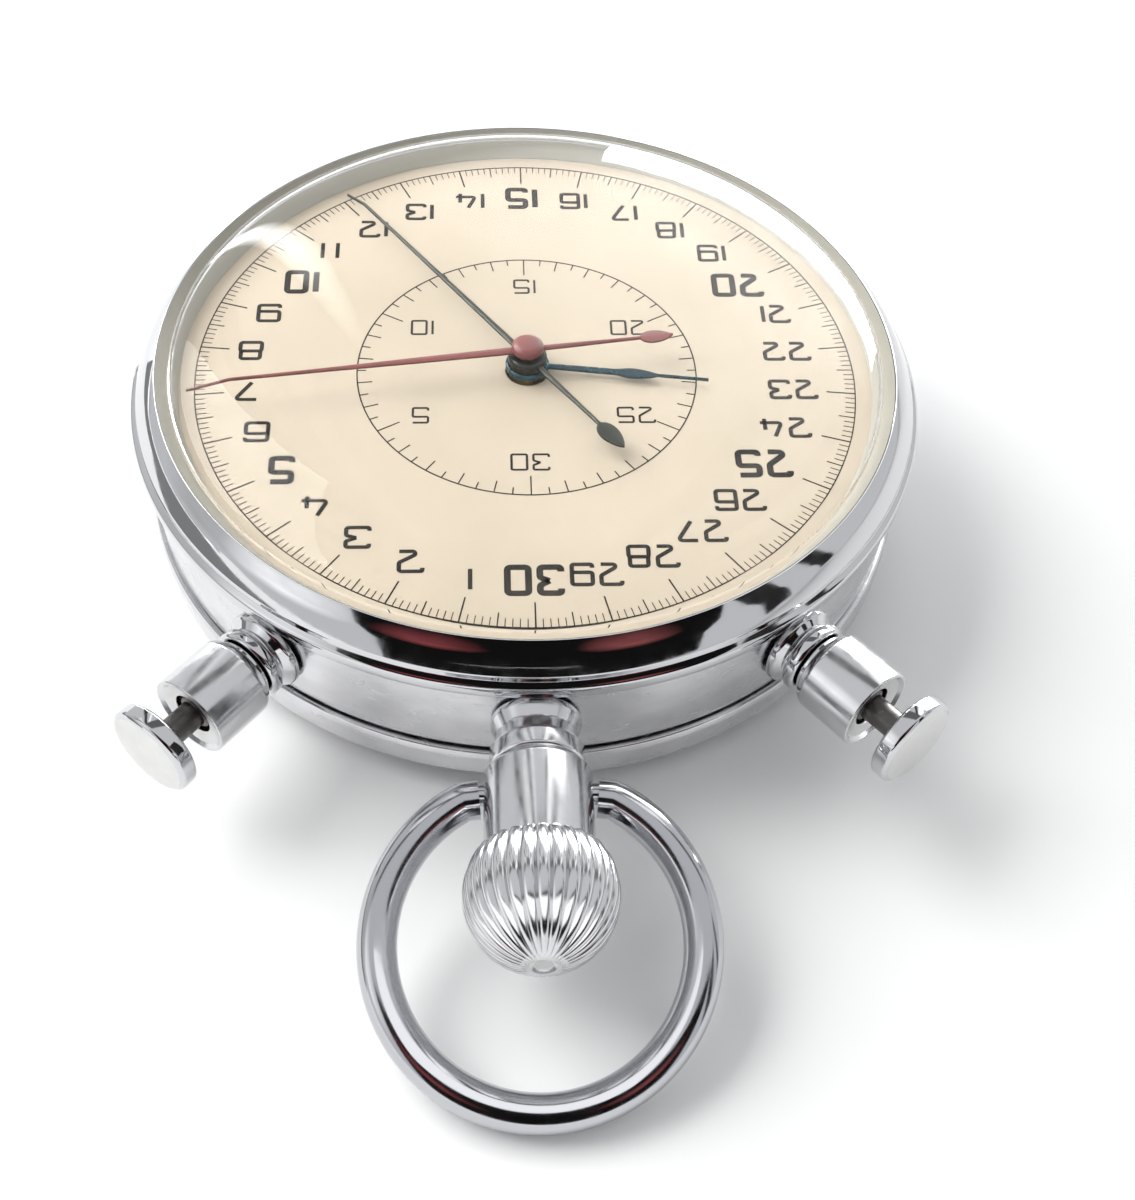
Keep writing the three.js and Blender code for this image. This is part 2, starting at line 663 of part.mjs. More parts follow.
function makeTrain() {
  const barrelPhase = 0;
  const pinionPhase = phaseInMesh(barrelGear, barrelPhase, barrelCentre, thirdPinion, thirdCentre);
  const thirdBody = join(
    gearPlate(thirdPinion, pinionPhase, 7.4, 8.6),
    gearPlate(thirdGear, pinionPhase, 10.1, 10.5, crossings(4, 3.4, 1.4)),
    disc(0.5, arborBottom, arborTop, small),
  );
  add("third_wheel", thirdBody, brass, thirdCentre);

  const secondsPhase = phaseInMesh(thirdGear, pinionPhase, thirdCentre, secondsPinion, centre);
  const { inner, outer } = secondsTube;
  const secondsBody = join(
    gearPlate(secondsPinion, secondsPhase, 9.8, 10.8),
    gearPlate(secondsGear, secondsPhase, 8.7, 9.1, crossings(4, 2.7, 1)),
    disc(outer, 3, 16.95, round),
  );
  add("centre_seconds_wheel", cut(secondsBody, disc(inner, 2, 18, round)), brass);

  const escapePhase = phaseInMesh(secondsGear, secondsPhase, centre, escapePinion, escapeCentre);
  const escapeBody = join(
    gearPlate(escapePinion, escapePhase, 8.5, 9.4),
    plate(escapeShape(), 10, 10.4),
    disc(wheelArbor, arborBottom, arborTop, small),
  );
  add("escape_wheel", escapeBody, steel, escapeCentre);
}

// Fifteen leaning teeth.
function escapeShape() {
  const teeth = 15;
  const tip = 3.6;
  const root = 2.7;
  const pitch = (2 * Math.PI) / teeth;
  const outline = [];
  for (let tooth = 0; tooth < teeth; tooth += 1) {
    outline.push(new THREE.Vector2(...along(tooth * pitch, tip)));
    outline.push(new THREE.Vector2(...along(tooth * pitch + 0.12 * pitch, tip)));
    outline.push(new THREE.Vector2(...along(tooth * pitch + 0.4 * pitch, root)));
  }
  return new THREE.Shape(outline);
}

function makeEscapement() {
  const [bottom, top] = [10, 10.4];
  const fromFork = (angle, distance) => along(trainDirection + angle, distance);
  const toWheel = Math.PI;
  const palletReach = 3.3;
  const palletSpread = THREE.MathUtils.degToRad(62);
  const body = join(
    disc(wheelArbor, 8.8, arborTop, small),
    disc(0.9, bottom, top, small),
    bar(centre, fromFork(0, 3.1), 0.6, 0.3, bottom, top),
    bar(centre, fromFork(toWheel - palletSpread, palletReach), 0.6, 0.35, bottom, top),
    bar(centre, fromFork(toWheel + palletSpread, palletReach), 0.6, 0.35, bottom, top),
  );
  add("pallet_fork", body, steel, forkCentre);

  const rim = ring(5.6, 6.3, 8, 8.6, medium);
  const impulsePin = stud(along(trainDirection + Math.PI, 0.8), 0.22, 9.3, 9.7);
  const balance = join(
    rim,
    bar(along(0, -6), along(0, 6), 0.45, 0.45, 8.1, 8.5),
    disc(0.9, 8, 8.6, small),
    disc(wheelArbor, arborBottom, arborTop, small),
    disc(1.2, 9.2, 9.4, small),
    impulsePin,
  );
  add("balance_wheel", balance, brass, balanceCentre);
  add("hairspring", spiral(1.3, 4.3, 3, 0.14, 7.3, 7.6), blued, balanceCentre);
}

// ---------------------------------------------------------------- minute counter

function makeCounter() {
  const [bottom, top] = [13.5, 13.9];
  const wheel = gearPlate(minuteGear, 0, bottom, top, [...crossings(3, 3.6, 1.2)]);
  const body = join(wheel, disc(minuteTube.outer, bottom, 16, round));
  const bored = cut(body, disc(minuteTube.inner, bottom - 1, 17, round));
  add("minute_wheel", bored, brass);
  const phase = phaseInMesh(minuteGear, 0, centre, counterGear, counterCentre);
  const counter = join(gearPlate(counterGear, phase, bottom, top), disc(wheelArbor, 11.4, 14.2, small));
  add("minute_counter_wheel", counter, brass, counterCentre);
}

// ---------------------------------------------------------------- reset and split work

function heartShape(low, high, bore) {
  const half = 10;
  const outline = [];
  for (let step = -half; step < half; step += 1) {
    const angle = (Math.PI * step) / half;
    const radius = low + ((high - low) * Math.abs(step)) / half;
    outline.push(new THREE.Vector2(...along(angle, radius)));
  }
  const shape = new THREE.Shape(outline);
  shape.holes.push(new THREE.Path().absarc(0, 0, bore, 0, 2 * Math.PI, true));
  return shape;
}

function makeHeartsAndSplitWheel() {
  const secondsHeart = heartShape(1.5, 2.3, secondsTube.outer + gap);
  add("seconds_heart_cam", plate(secondsHeart, ...leverLayer), steel);
  const splitHeart = heartShape(0.9, 2, splitArborRadius + gap);
  add("split_heart_cam", plate(splitHeart, 2.3, 2.7), steel);
  add("split_arbor", disc(splitArborRadius, 1.4, 17.3, 8), steel);
  const rim = { teeth: 24, module: 0.37 };
  const holes = [[0, 0, splitArborRadius + gap], ...crossings(4, 2.5, 1)];
  add("split_wheel", gearPlate(rim, 0, ...splitLayer, holes), brass);
}

// Two jaws that close on the split wheel's rim.
function makeClamps() {
  const inner = 5.1;
  const outer = 6.1;
  const jaw = (sign) => {
    const from = sign * THREE.MathUtils.degToRad(22);
    const to = sign * THREE.MathUtils.degToRad(125);
    const shape = new THREE.Shape();
    shape.absarc(0, 0, outer, from, to, sign < 0);
    shape.absarc(0, 0, inner, to, from, sign > 0);
    return plate(shape, ...splitLayer, 5);
  };
  for (const [name, sign] of [["upper", 1], ["lower", -1]]) {
    const pivot = clampPivots[name];
    const tail = bar(pivot, [9.4, sign * 1.7], 1.4, 0.6, ...splitLayer);
    const hole = stud(pivot, clampStud + gap, splitLayer[0] - 1, splitLayer[1] + 1);
    const body = cut(join(jaw(sign), stud(pivot, 1.4, ...splitLayer), tail), hole);
    add("split_clamp_" + name, body, steel);
  }
}

// A flat lever from its pivot to a head by the centre and to a tail that a plunger pushes.
function plungerLever(pivot, angle, head) {
  const tail = [26.4 * Math.sin(angle), -26.4 * Math.cos(angle)];
  const [bottom, top] = leverLayer;
  const body = join(
    bar(pivot, tail, 1.8, 1, bottom, top),
    bar(pivot, head, 1.8, 0.7, bottom, top),
    stud(tail, 0.9, bottom, 10.4),
  );
  return cut(body, stud(pivot, leverStud + gap, bottom - 1, top + 1));
}

function makeLevers() {
  const hammer = plungerLever(hammerPivot, -pusherAngle, [0, -5.4]);
  add("reset_hammer", hammer, steel);
  add("split_lever", plungerLever(splitLeverPivot, pusherAngle, [10.4, -2]), steel);

  const [bottom, top] = [8.9, 9.9];
  const hook = [9.3, -16.1];
  const start = join(
    bar(startLeverPivot, [-0.9, -16.1], 1.6, 0.5, bottom, top),
    bar(startLeverPivot, hook, 1.6, 0.7, bottom, top),
    stud(hook, 0.6, 2, top),
  );
  const startHole = stud(startLeverPivot, leverStud + gap, bottom - 1, top + 1);
  add("start_lever", cut(start, startHole), steel);

  const brake = join(
    bar(brakePivot, [11.3, 9.65], 1.6, 0.35, 8, 8.6),
    bar(brakePivot, [19.5, 4], 1.6, 0.6, 8, 8.6),
  );
  add("brake_lever", cut(brake, stud(brakePivot, leverStud + gap, 7, 10)), steel);
}

// Ratchet teeth below a crown of six columns.
function makeColumnWheel() {
  const columns = 6;
  const ratchet = { teeth: 12, module: 0.4 };
  const body = [gearPlate(ratchet, 0, 1.9, 2.5), disc(0.6, 1.5, arborTop, small)];
  for (let column = 0; column < columns; column += 1) {
    const at = along((2 * Math.PI * column) / columns, 1.5);
    body.push(disc(0.45, 2.4, 4.4, 8).translate(at[0], at[1], 0));
  }
  add("column_wheel", join(...body), steel, columnCentre);
}

makeCase();
makeCrystal();
makeMovementRing();
makePendant();
makeBow();
makeCrown();
makeStem();
makeWindingPinion();
makePusher("left", -pusherAngle);
makePusher("right", pusherAngle);
makeDial();
makeHands();
makeMainPlate();
makeBarrelBridge();
makeTrainBridge();
makeCocks();
makeBarrel();
makeWindingWheels();
makeTrain();
makeEscapement();
makeCounter();
makeHeartsAndSplitWheel();
makeClamps();
makeLevers();
makeColumnWheel();

export default stopwatch;
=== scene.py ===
"""Looks of a split-seconds stopwatch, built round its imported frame.

Sizes are in millimetres until piece() turns them into metres. +Z is up, the crown points along -Y,
and the origin is the middle of the case back's flat face, on the table.
"""

import json
import math

import bmesh
import bpy
from mathutils import Matrix, Vector


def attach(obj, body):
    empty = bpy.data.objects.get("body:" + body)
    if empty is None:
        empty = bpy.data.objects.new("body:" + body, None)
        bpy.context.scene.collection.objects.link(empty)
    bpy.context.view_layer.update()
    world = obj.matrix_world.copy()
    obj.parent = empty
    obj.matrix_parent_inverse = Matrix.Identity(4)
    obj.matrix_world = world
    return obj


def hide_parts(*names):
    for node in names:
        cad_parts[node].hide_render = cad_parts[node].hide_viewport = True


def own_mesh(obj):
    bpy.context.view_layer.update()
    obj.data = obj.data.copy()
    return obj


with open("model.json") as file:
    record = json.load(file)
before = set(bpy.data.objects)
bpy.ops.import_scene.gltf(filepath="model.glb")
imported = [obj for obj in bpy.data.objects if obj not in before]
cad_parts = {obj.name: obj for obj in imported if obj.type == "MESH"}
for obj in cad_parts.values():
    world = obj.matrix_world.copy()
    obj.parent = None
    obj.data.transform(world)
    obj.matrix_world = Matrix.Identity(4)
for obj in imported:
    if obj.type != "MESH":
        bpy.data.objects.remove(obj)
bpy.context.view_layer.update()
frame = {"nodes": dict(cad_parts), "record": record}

# ------------------------ sizes shared with the frame

MM = 0.001
AXIS_HEIGHT = 9.5  # crown and pusher axes above the table
PUSHER_ANGLE = math.radians(39.5)  # either side of the crown
SEAM = 5.3  # case back to middle case
BAND_TOP = 12.7  # middle case to bezel
GAP = 0.3  # between neighbouring parts of the frame
CASE_RADIUS = 32.5
BAND_RADIUS = 31.6
BORE_RADIUS = 29.6
DIAL_TOP = 15.0
DIAL_RADIUS = 28.7
BEZEL_TOP = 17.45
CRYSTAL_RADIUS = 29.2
CRYSTAL_APEX = 20.0
FULL_TURN = 2 * math.pi
DIAL_UNITS = 30  # the outer scale's seconds and the inner scale's minutes
SECONDS_READING = 12.05
SPLIT_READING = 6.8
MINUTE_READING = 23.1

FINE = 256  # segments round the case
MEDIUM = 96  # segments round turned parts
FILLET_STEP = math.radians(12)
SHARP = math.radians(38)
NEARLY_STRAIGHT = math.pi - 0.01
ON_AXIS = 1e-6  # a smaller radius counts as on the axis
UP = Vector((0, 0, 1))

# ------------------------ outlines


def fillet(before, corner, after, radius):
    """Points of the arc that rounds a corner between two straight edges."""
    to_before = (before - corner).normalized()
    to_after = (after - corner).normalized()
    opening = to_before.angle(to_after)
    if radius <= 0 or opening > NEARLY_STRAIGHT:
        return [corner]
    reach = min((before - corner).length, (after - corner).length) / 2
    setback = min(radius / math.tan(opening / 2), reach)
    radius = setback * math.tan(opening / 2)
    centre = corner + (to_before + to_after).normalized() * radius / math.sin(opening / 2)
    start = corner + to_before * setback - centre
    sweep = math.pi - opening
    if start.cross(corner + to_after * setback - centre) < 0:
        sweep = -sweep
    steps = max(2, math.ceil(abs(sweep) / FILLET_STEP))
    points = []
    for step in range(steps + 1):
        turn = sweep * step / steps
        across = Vector((-start.y, start.x))
        points.append(centre + start * math.cos(turn) + across * math.sin(turn))
    return points


def rounded(corners, closed=True):
    """An outline from (x, y, fillet radius) corners."""
    count = len(corners)
    points = []
    for index, (x, y, radius) in enumerate(corners):
        if not closed and index in (0, count - 1):
            points.append(Vector((x, y)))
            continue
        before = Vector(corners[index - 1][:2])
        after = Vector(corners[(index + 1) % count][:2])
        points += fillet(before, Vector((x, y)), after, radius)
    return points


# ------------------------ meshes


def turned(corners, segments=MEDIUM):
    """Vertices and faces of a body turned about Z from (radius, height, fillet radius) corners."""
    on_axis = corners[0][0] == 0 and corners[-1][0] == 0
    return swept_round(rounded(corners, closed=not on_axis), segments, not on_axis)


def swept_round(points, segments, closed, shape=None):
    """Turns (radius, height) points about Z. shape(point, angle) may change the radius."""
    vertices = []
    rows = []
    for point in points:
        if point.x < ON_AXIS:
            rows.append([len(vertices)])
            vertices.append((0.0, 0.0, point.y))
            continue
        row = []
        for segment in range(segments):
            angle = FULL_TURN * segment / segments
            radius = shape(point, angle) if shape else point.x
            row.append(len(vertices))
            vertices.append((radius * math.cos(angle), radius * math.sin(angle), point.y))
        rows.append(row)
    faces = []
    pairs = list(zip(rows, rows[1:]))
    if closed:
        pairs.append((rows[-1], rows[0]))
    for lower, upper in pairs:
        for segment in range(segments):
            after = (segment + 1) % segments
            if len(lower) == 1:
                faces.append((lower[0], upper[segment], upper[after]))
            elif len(upper) == 1:
                faces.append((lower[segment], lower[after], upper[0]))
            else:
                faces.append((lower[segment], lower[after], upper[after], upper[segment]))
    return vertices, faces


def prism(outline, bottom, top):
    """A flat plate with the outline's shape."""
    count = len(outline)
    vertices = [(x, y, bottom) for x, y in outline] + [(x, y, top) for x, y in outline]
    faces = [tuple(range(count))[::-1], tuple(range(count, 2 * count))]
    for index in range(count):
        after = (index + 1) % count
        faces.append((index, after, count + after, count + index))
    return vertices, faces


def tube(path, radius, segments=24):
    """A round bar along a path that lies nearly flat."""
    vertices = []
    count = len(path)
    for index, point in enumerate(path):
        before = path[max(index - 1, 0)]
        after = path[min(index + 1, count - 1)]
        side = (after - before).normalized().cross(UP)
        for segment in range(segments):
            angle = FULL_TURN * segment / segments
            offset = side * math.cos(angle) + UP * math.sin(angle)
            vertices.append(tuple(point + offset * radius))
    faces = [tuple(range(segments)), tuple(range((count - 1) * segments, count * segments))[::-1]]
    for index in range(count - 1):
        for segment in range(segments):
            after = (segment + 1) % segments
            low = index * segments
            high = low + segments
            faces.append((low + segment, high + segment, high + after, low + after))
    return vertices, faces


def coil(radius, wire_radius, start, end, turns):
    """A coil spring about Z, between two heights."""
    steps_per_turn = 24
    steps = steps_per_turn * turns
    low = start + wire_radius
    rise = end - wire_radius - low
    path = []
    for step in range(steps + 1):
        angle = FULL_TURN * turns * step / steps
        place = (radius * math.cos(angle), radius * math.sin(angle), low + rise * step / steps)
        path.append(Vector(place))
    return tube(path, wire_radius, segments=10)


def merged(*meshes):
    """Several meshes as one."""
    vertices = []
    faces = []
    for more_vertices, more_faces in meshes:
        offset = len(vertices)
        vertices += more_vertices
        faces += [tuple(index + offset for index in face) for face in more_faces]
    return vertices, faces


def moved(mesh, matrix):
    vertices, faces = mesh
    return [tuple(matrix @ Vector(vertex)) for vertex in vertices], faces


def radial(mesh, angle=0.0):
    """Lays a body turned about Z along the crown's axis, or at an angle to it about the centre."""
    outward = Matrix.Rotation(math.pi / 2, 4, "X")
    height = Matrix.Translation((0, 0, AXIS_HEIGHT))
    return moved(mesh, Matrix.Rotation(angle, 4, "Z") @ height @ outward)


def reading(value):
    """The turn about Z from the crown's direction to a value on the dial."""
    return Matrix.Rotation(-FULL_TURN * value / DIAL_UNITS, 4, "Z")


def piece(name, mesh, material, body, node, sharp=SHARP):
    """Adds a mesh in millimetres as a piece that rides on a body and stands for a CAD node."""
    vertices, faces = mesh
    data = bpy.data.meshes.new(name)
    data.from_pydata([tuple(MM * value for value in vertex) for vertex in vertices], [], faces)
    outward = bmesh.new()
    outward.from_mesh(data)
    bmesh.ops.recalc_face_normals(outward, faces=outward.faces)
    outward.to_mesh(data)
    outward.free()
    data.shade_smooth()
    data.set_sharp_from_angle(angle=sharp)
    data.materials.append(material)
    made = bpy.data.objects.new(name, data)
    bpy.context.scene.collection.objects.link(made)
    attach(made, body)
    if node:
        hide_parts(node)
    return made


# ------------------------ materials

NOISE_LOW = 0.3  # most of a noise texture's values lie between these
NOISE_HIGH = 0.7


class Finish:
    """A Principled material with object-space noise for its roughness, colour and bump."""

    def __init__(self, name, color, metallic, roughness):
        self.material = bpy.data.materials.new(name)
        self.material.use_nodes = True
        self.tree = self.material.node_tree
        self.shader = self.tree.nodes["Principled BSDF"]
        self.shader.inputs["Base Color"].default_value = (*color, 1)
        self.shader.inputs["Metallic"].default_value = metallic
        self.shader.inputs["Roughness"].default_value = roughness
        self.coordinates = self.node("ShaderNodeTexCoord").outputs["Object"]

    def node(self, kind, **settings):
        made = self.tree.nodes.new(kind)
        for name, value in settings.items():
            setattr(made, name, value)
        return made

    def link(self, source, target):
        self.tree.links.new(source, target)

    def stretched(self, scale):
        """Object coordinates scaled evenly, or along X, Y and Z, per metre."""
        mapping = self.node("ShaderNodeMapping")
        mapping.inputs["Scale"].default_value = scale if isinstance(scale, tuple) else [scale] * 3
        self.link(self.coordinates, mapping.inputs["Vector"])
        return mapping.outputs["Vector"]

    def noise(self, scale, detail=3.0):
        texture = self.node("ShaderNodeTexNoise")
        texture.inputs["Scale"].default_value = 1.0
        texture.inputs["Detail"].default_value = detail
        self.link(self.stretched(scale), texture.inputs["Vector"])
        return texture.outputs["Fac"]

    def remapped(self, source, low, high, to_low, to_high):
        ranged = self.node("ShaderNodeMapRange")
        ranged.inputs["From Min"].default_value = low
        ranged.inputs["From Max"].default_value = high
        ranged.inputs["To Min"].default_value = to_low
        ranged.inputs["To Max"].default_value = to_high
        self.link(source, ranged.inputs["Value"])
        return ranged.outputs["Result"]

    def vary_roughness(self, scale, low, high):
        spread = self.remapped(self.noise(scale), NOISE_LOW, NOISE_HIGH, low, high)
        self.link(spread, self.shader.inputs["Roughness"])

    def vary_color(self, scale, dark, light):
        ramp = self.node("ShaderNodeValToRGB")
        ramp.color_ramp.elements[0].position = NOISE_LOW
        ramp.color_ramp.elements[0].color = (*dark, 1)
        ramp.color_ramp.elements[1].position = NOISE_HIGH
        ramp.color_ramp.elements[1].color = (*light, 1)
        self.link(self.noise(scale), ramp.inputs["Fac"])
        self.link(ramp.outputs["Color"], self.shader.inputs["Base Color"])

    def add_bump(self, scale, distance):
        bump = self.node("ShaderNodeBump")
        bump.inputs["Strength"].default_value = 1.0
        bump.inputs["Distance"].default_value = distance
        self.link(self.noise(scale, detail=2.0), bump.inputs["Height"])
        self.link(bump.outputs["Normal"], self.shader.inputs["Normal"])

    def keep_matt(self):
        """Nearly no clear reflection, so bright panels don't veil the colour."""
        self.shader.inputs["Specular IOR Level"].default_value = 0.1


def make_polished_chrome(name, color, smooth, dull):
    finish = Finish(name, color, metallic=1.0, roughness=smooth)
    finish.vary_roughness(scale=900, low=smooth, high=dull)
    finish.add_bump(scale=420, distance=6e-6)
    return finish.material


def make_satin_chrome():
    finish = Finish("satin_chrome", (0.68, 0.68, 0.7), metallic=1.0, roughness=0.22)
    finish.vary_color(scale=(260, 260, 420), dark=(0.62, 0.62, 0.64), light=(0.73, 0.73, 0.75))
    finish.vary_roughness(scale=(500, 500, 1800), low=0.14, high=0.3)
    finish.add_bump(scale=(900, 900, 5200), distance=5e-6)
    return finish.material


def make_satin_wall():
    finish = Finish("satin_wall", (0.33, 0.32, 0.28), metallic=0.0, roughness=0.6)
    finish.keep_matt()
    finish.vary_roughness(scale=(700, 700, 2600), low=0.4, high=0.5)
    finish.add_bump(scale=(1200, 1200, 4200), distance=3e-6)
    return finish.material


def make_frosted_chrome():
    finish = Finish("frosted_chrome", (0.74, 0.74, 0.73), metallic=1.0, roughness=0.42)
    finish.vary_roughness(scale=900, low=0.36, high=0.5)
    finish.add_bump(scale=5200, distance=5e-6)
    return finish.material


def make_steel(name, color, low, high):
    finish = Finish(name, color, metallic=1.0, roughness=low)
    finish.vary_roughness(scale=(900, 2600, 900), low=low, high=high)
    finish.add_bump(scale=(1500, 9000, 1500), distance=2e-6)
    return finish.material


def make_brass():
    finish = Finish("brass", (0.78, 0.6, 0.3), metallic=1.0, roughness=0.3)
    finish.vary_color(scale=300, dark=(0.7, 0.52, 0.24), light=(0.84, 0.67, 0.36))
    finish.vary_roughness(scale=1200, low=0.22, high=0.38)
    return finish.material


def make_nickel():
    finish = Finish("nickel", (0.72, 0.7, 0.65), metallic=1.0, roughness=0.34)
    finish.vary_color(scale=400, dark=(0.66, 0.64, 0.59), light=(0.78, 0.76, 0.71))
    finish.add_bump(scale=4000, distance=3e-6)
    return finish.material


def make_dial_lacquer():
    finish = Finish("dial_lacquer", (0.39, 0.334, 0.262), metallic=0.0, roughness=0.42)
    finish.keep_matt()
    finish.vary_color(scale=70, dark=(0.376, 0.322, 0.25), light=(0.41, 0.351, 0.277))
    finish.vary_roughness(scale=600, low=0.38, high=0.5)
    finish.add_bump(scale=2600, distance=2e-6)
    return finish.material


def make_ink():
    finish = Finish("dial_ink", (0.01, 0.008, 0.006), metallic=0.0, roughness=0.6)
    finish.keep_matt()
    finish.vary_color(scale=500, dark=(0.006, 0.005, 0.004), light=(0.02, 0.016, 0.012))
    return finish.material


def make_blued_steel():
    finish = Finish("blued_steel", (0.05, 0.075, 0.09), metallic=1.0, roughness=0.25)
    finish.vary_color(scale=220, dark=(0.06, 0.07, 0.075), light=(0.05, 0.12, 0.16))
    finish.vary_roughness(scale=1500, low=0.18, high=0.32)
    return finish.material


def make_red_lacquer():
    finish = Finish("red_lacquer", (0.13, 0.03, 0.027), metallic=0.0, roughness=0.35)
    finish.vary_color(scale=400, dark=(0.11, 0.024, 0.021), light=(0.16, 0.036, 0.033))
    finish.shader.inputs["Coat Weight"].default_value = 0.2
    finish.shader.inputs["Coat Roughness"].default_value = 0.15
    return finish.material


def make_acrylic():
    """Clear plastic that lets lamps through to the dial."""
    finish = Finish("clear_acrylic", (0.985, 0.99, 0.985), metallic=0.0, roughness=0.0)
    finish.shader.inputs["Transmission Weight"].default_value = 1.0
    finish.shader.inputs["IOR"].default_value = 1.2
    finish.vary_roughness(scale=260, low=0.0, high=0.012)
    clear = finish.node("ShaderNodeBsdfTransparent")
    clear.inputs["Color"].default_value = (0.97, 0.97, 0.96, 1)
    mix = finish.node("ShaderNodeMixShader")
    light_path = finish.node("ShaderNodeLightPath")
    finish.link(light_path.outputs["Is Shadow Ray"], mix.inputs["Fac"])
    finish.link(finish.shader.outputs["BSDF"], mix.inputs[1])
    finish.link(clear.outputs["BSDF"], mix.inputs[2])
    finish.link(mix.outputs["Shader"], finish.tree.nodes["Material Output"].inputs["Surface"])
    return finish.material


POLISHED = make_polished_chrome("polished_chrome", (0.62, 0.625, 0.64), smooth=0.03, dull=0.09)
WORN_CHROME = make_polished_chrome("worn_chrome", (0.66, 0.665, 0.68), smooth=0.13, dull=0.22)
# A darker copy of the polished chrome for the bow: painted shade, so the bow lying on the table looks
# darker than the case.
SHADED_BOW_CHROME = make_polished_chrome("shaded_bow_chrome", (0.52, 0.525, 0.55), smooth=0.1, dull=0.17)
SATIN = make_satin_chrome()
STEEL = make_steel("steel", (0.6, 0.61, 0.62), low=0.22, high=0.36)
DARK_STEEL = make_steel("dark_steel", (0.13, 0.125, 0.12), low=0.25, high=0.5)
SPRING_STEEL = make_steel("spring_steel", (0.33, 0.36, 0.42), low=0.2, high=0.32)
BRASS = make_brass()
NICKEL = make_nickel()
DIAL_LACQUER = make_dial_lacquer()
INK = make_ink()
BLUED = make_blued_steel()
RED = make_red_lacquer()
ACRYLIC = make_acrylic()
SATIN_WALL = make_satin_wall()
BLUED_GREY = make_steel("grey_blued_steel", (0.055, 0.058, 0.05), low=0.28, high=0.42)
FROSTED = make_frosted_chrome()

SLOT_MATERIALS = {
    "polished_chrome": POLISHED,
    "satin_chrome": SATIN,
    "steel": STEEL,
    "dark_steel": DARK_STEEL,
    "spring_steel": SPRING_STEEL,
    "brass": BRASS,
    "nickel": NICKEL,
    "acrylic": ACRYLIC,
    "dial_enamel": DIAL_LACQUER,
    "red_lacquer": RED,
    "blued_steel": BLUED,
}


def finish_cad_nodes():
    """Gives each CAD node that stays visible the material of its slot."""
    for entry in frame["record"]["subparts"]:
        mesh = frame["nodes"][entry["node"]].data
        mesh.materials.clear()
        mesh.materials.append(SLOT_MATERIALS[entry["material_slot"]])


# ------------------------ case


def make_case_back():
    flat = 26.0  # radius of the face on the table
    groove = 23.5  # a turned line in that face
    depth = 0.25
    wall = 1.1
    rim_bore = 30.9
    shell = [
        (0, 0, 0), (groove, 0, 0.1), (groove + 0.2, depth, 0.1), (groove + 0.6, depth, 0.1),
        (groove + 0.8, 0, 0.1), (flat, 0, 3), (30.4, 0.8, 2), (31.8, 2.5, 1.6), (31.95, 4.7, 0.3),
        (31.8, SEAM, 0.2), (rim_bore, SEAM, 0.1), (rim_bore - 0.3, 2.7, 0.8), (flat, wall, 2),
        (0, wall, 0),
    ]
    piece("case_back_shell", turned(shell, FINE), SATIN, "case", "case_back")


def make_band():
    bottom = SEAM + GAP
    foot = BAND_RADIUS - 0.1
    belly = BAND_RADIUS + 0.08
    shoulder = BAND_RADIUS - 0.05
    middle = (bottom + BAND_TOP) / 2
    profile = [
        (BORE_RADIUS, bottom, 0.1), (foot, bottom, 0.25), (belly, middle, 6),
        (shoulder, BAND_TOP, 0.25), (BORE_RADIUS, BAND_TOP, 0.1),
    ]
    piece("case_band", turned(profile, FINE), SATIN, "case", "case_middle")


CREST_RADIUS = 30.15  # the bezel's top edge
WALL_FOOT = DIAL_RADIUS - 0.1  # where the wall inside the bezel meets the dial
WALL_FOOT_HEIGHT = DIAL_TOP + 0.03
LINING = 0.2  # the wall's thickness at its foot


def make_bezel_ring():
    bottom = BAND_TOP + GAP
    bore = 29.3
    lip = 31.55
    notch = 31.98  # the step between the bead and the slope
    profile = [
        (WALL_FOOT + LINING, WALL_FOOT_HEIGHT, 0), (bore, DIAL_TOP, 0), (bore, bottom, 0),
        (lip, bottom, 0.1), (CASE_RADIUS, 13.3, 0.6), (CASE_RADIUS - 0.04, 14.42, 0.5),
        (notch, 14.75, 0.15), (notch - 0.05, 15.15, 0.4), (31.05, 16.6, 2.5),
        (CREST_RADIUS, BEZEL_TOP, 0.06), (CREST_RADIUS - 0.03, BEZEL_TOP - 0.3, 0),
    ]
    piece("bezel_ring", turned(profile, FINE), POLISHED, "case", "bezel")


def make_bezel_wall():
    outer = CREST_RADIUS - 0.04
    top = BEZEL_TOP - 0.02
    profile = [
        (WALL_FOOT, WALL_FOOT_HEIGHT, 0), (WALL_FOOT + LINING, WALL_FOOT_HEIGHT, 0),
        (outer, top - 0.3, 0), (outer, top, 0.04), (29.2, 16.2, 1.5),
    ]
    mesh = turned(profile, FINE)
    piece("bezel_inner_wall", mesh, SATIN_WALL, "case", "bezel")


def dome(radius, edge, apex, rings=14):
    """(radius, height) points of a dome that is steep at its edge, from the edge inwards."""
    points = []
    for step in range(rings + 1):
        turn = math.pi / 2 * step / rings
        reach = radius * math.sqrt(max(math.cos(turn), 0)) if step < rings else 0.0
        points.append(Vector((reach, edge + (apex - edge) * math.sin(turn))))
    return points


def make_crystal():
    thickness = 0.35
    rim_bottom = BEZEL_TOP - 0.55
    rim_top = BEZEL_TOP - GAP
    inner = dome(CRYSTAL_RADIUS - thickness, rim_bottom, CRYSTAL_APEX - thickness)
    outer = dome(CRYSTAL_RADIUS, rim_top, CRYSTAL_APEX)
    rim = [Vector((CRYSTAL_RADIUS, rim_bottom))]
    mesh = swept_round(inner[::-1] + rim + outer, FINE, closed=False)
    piece("crystal_dome", mesh, ACRYLIC, "case", "crystal")


# ------------------------ crown and bow

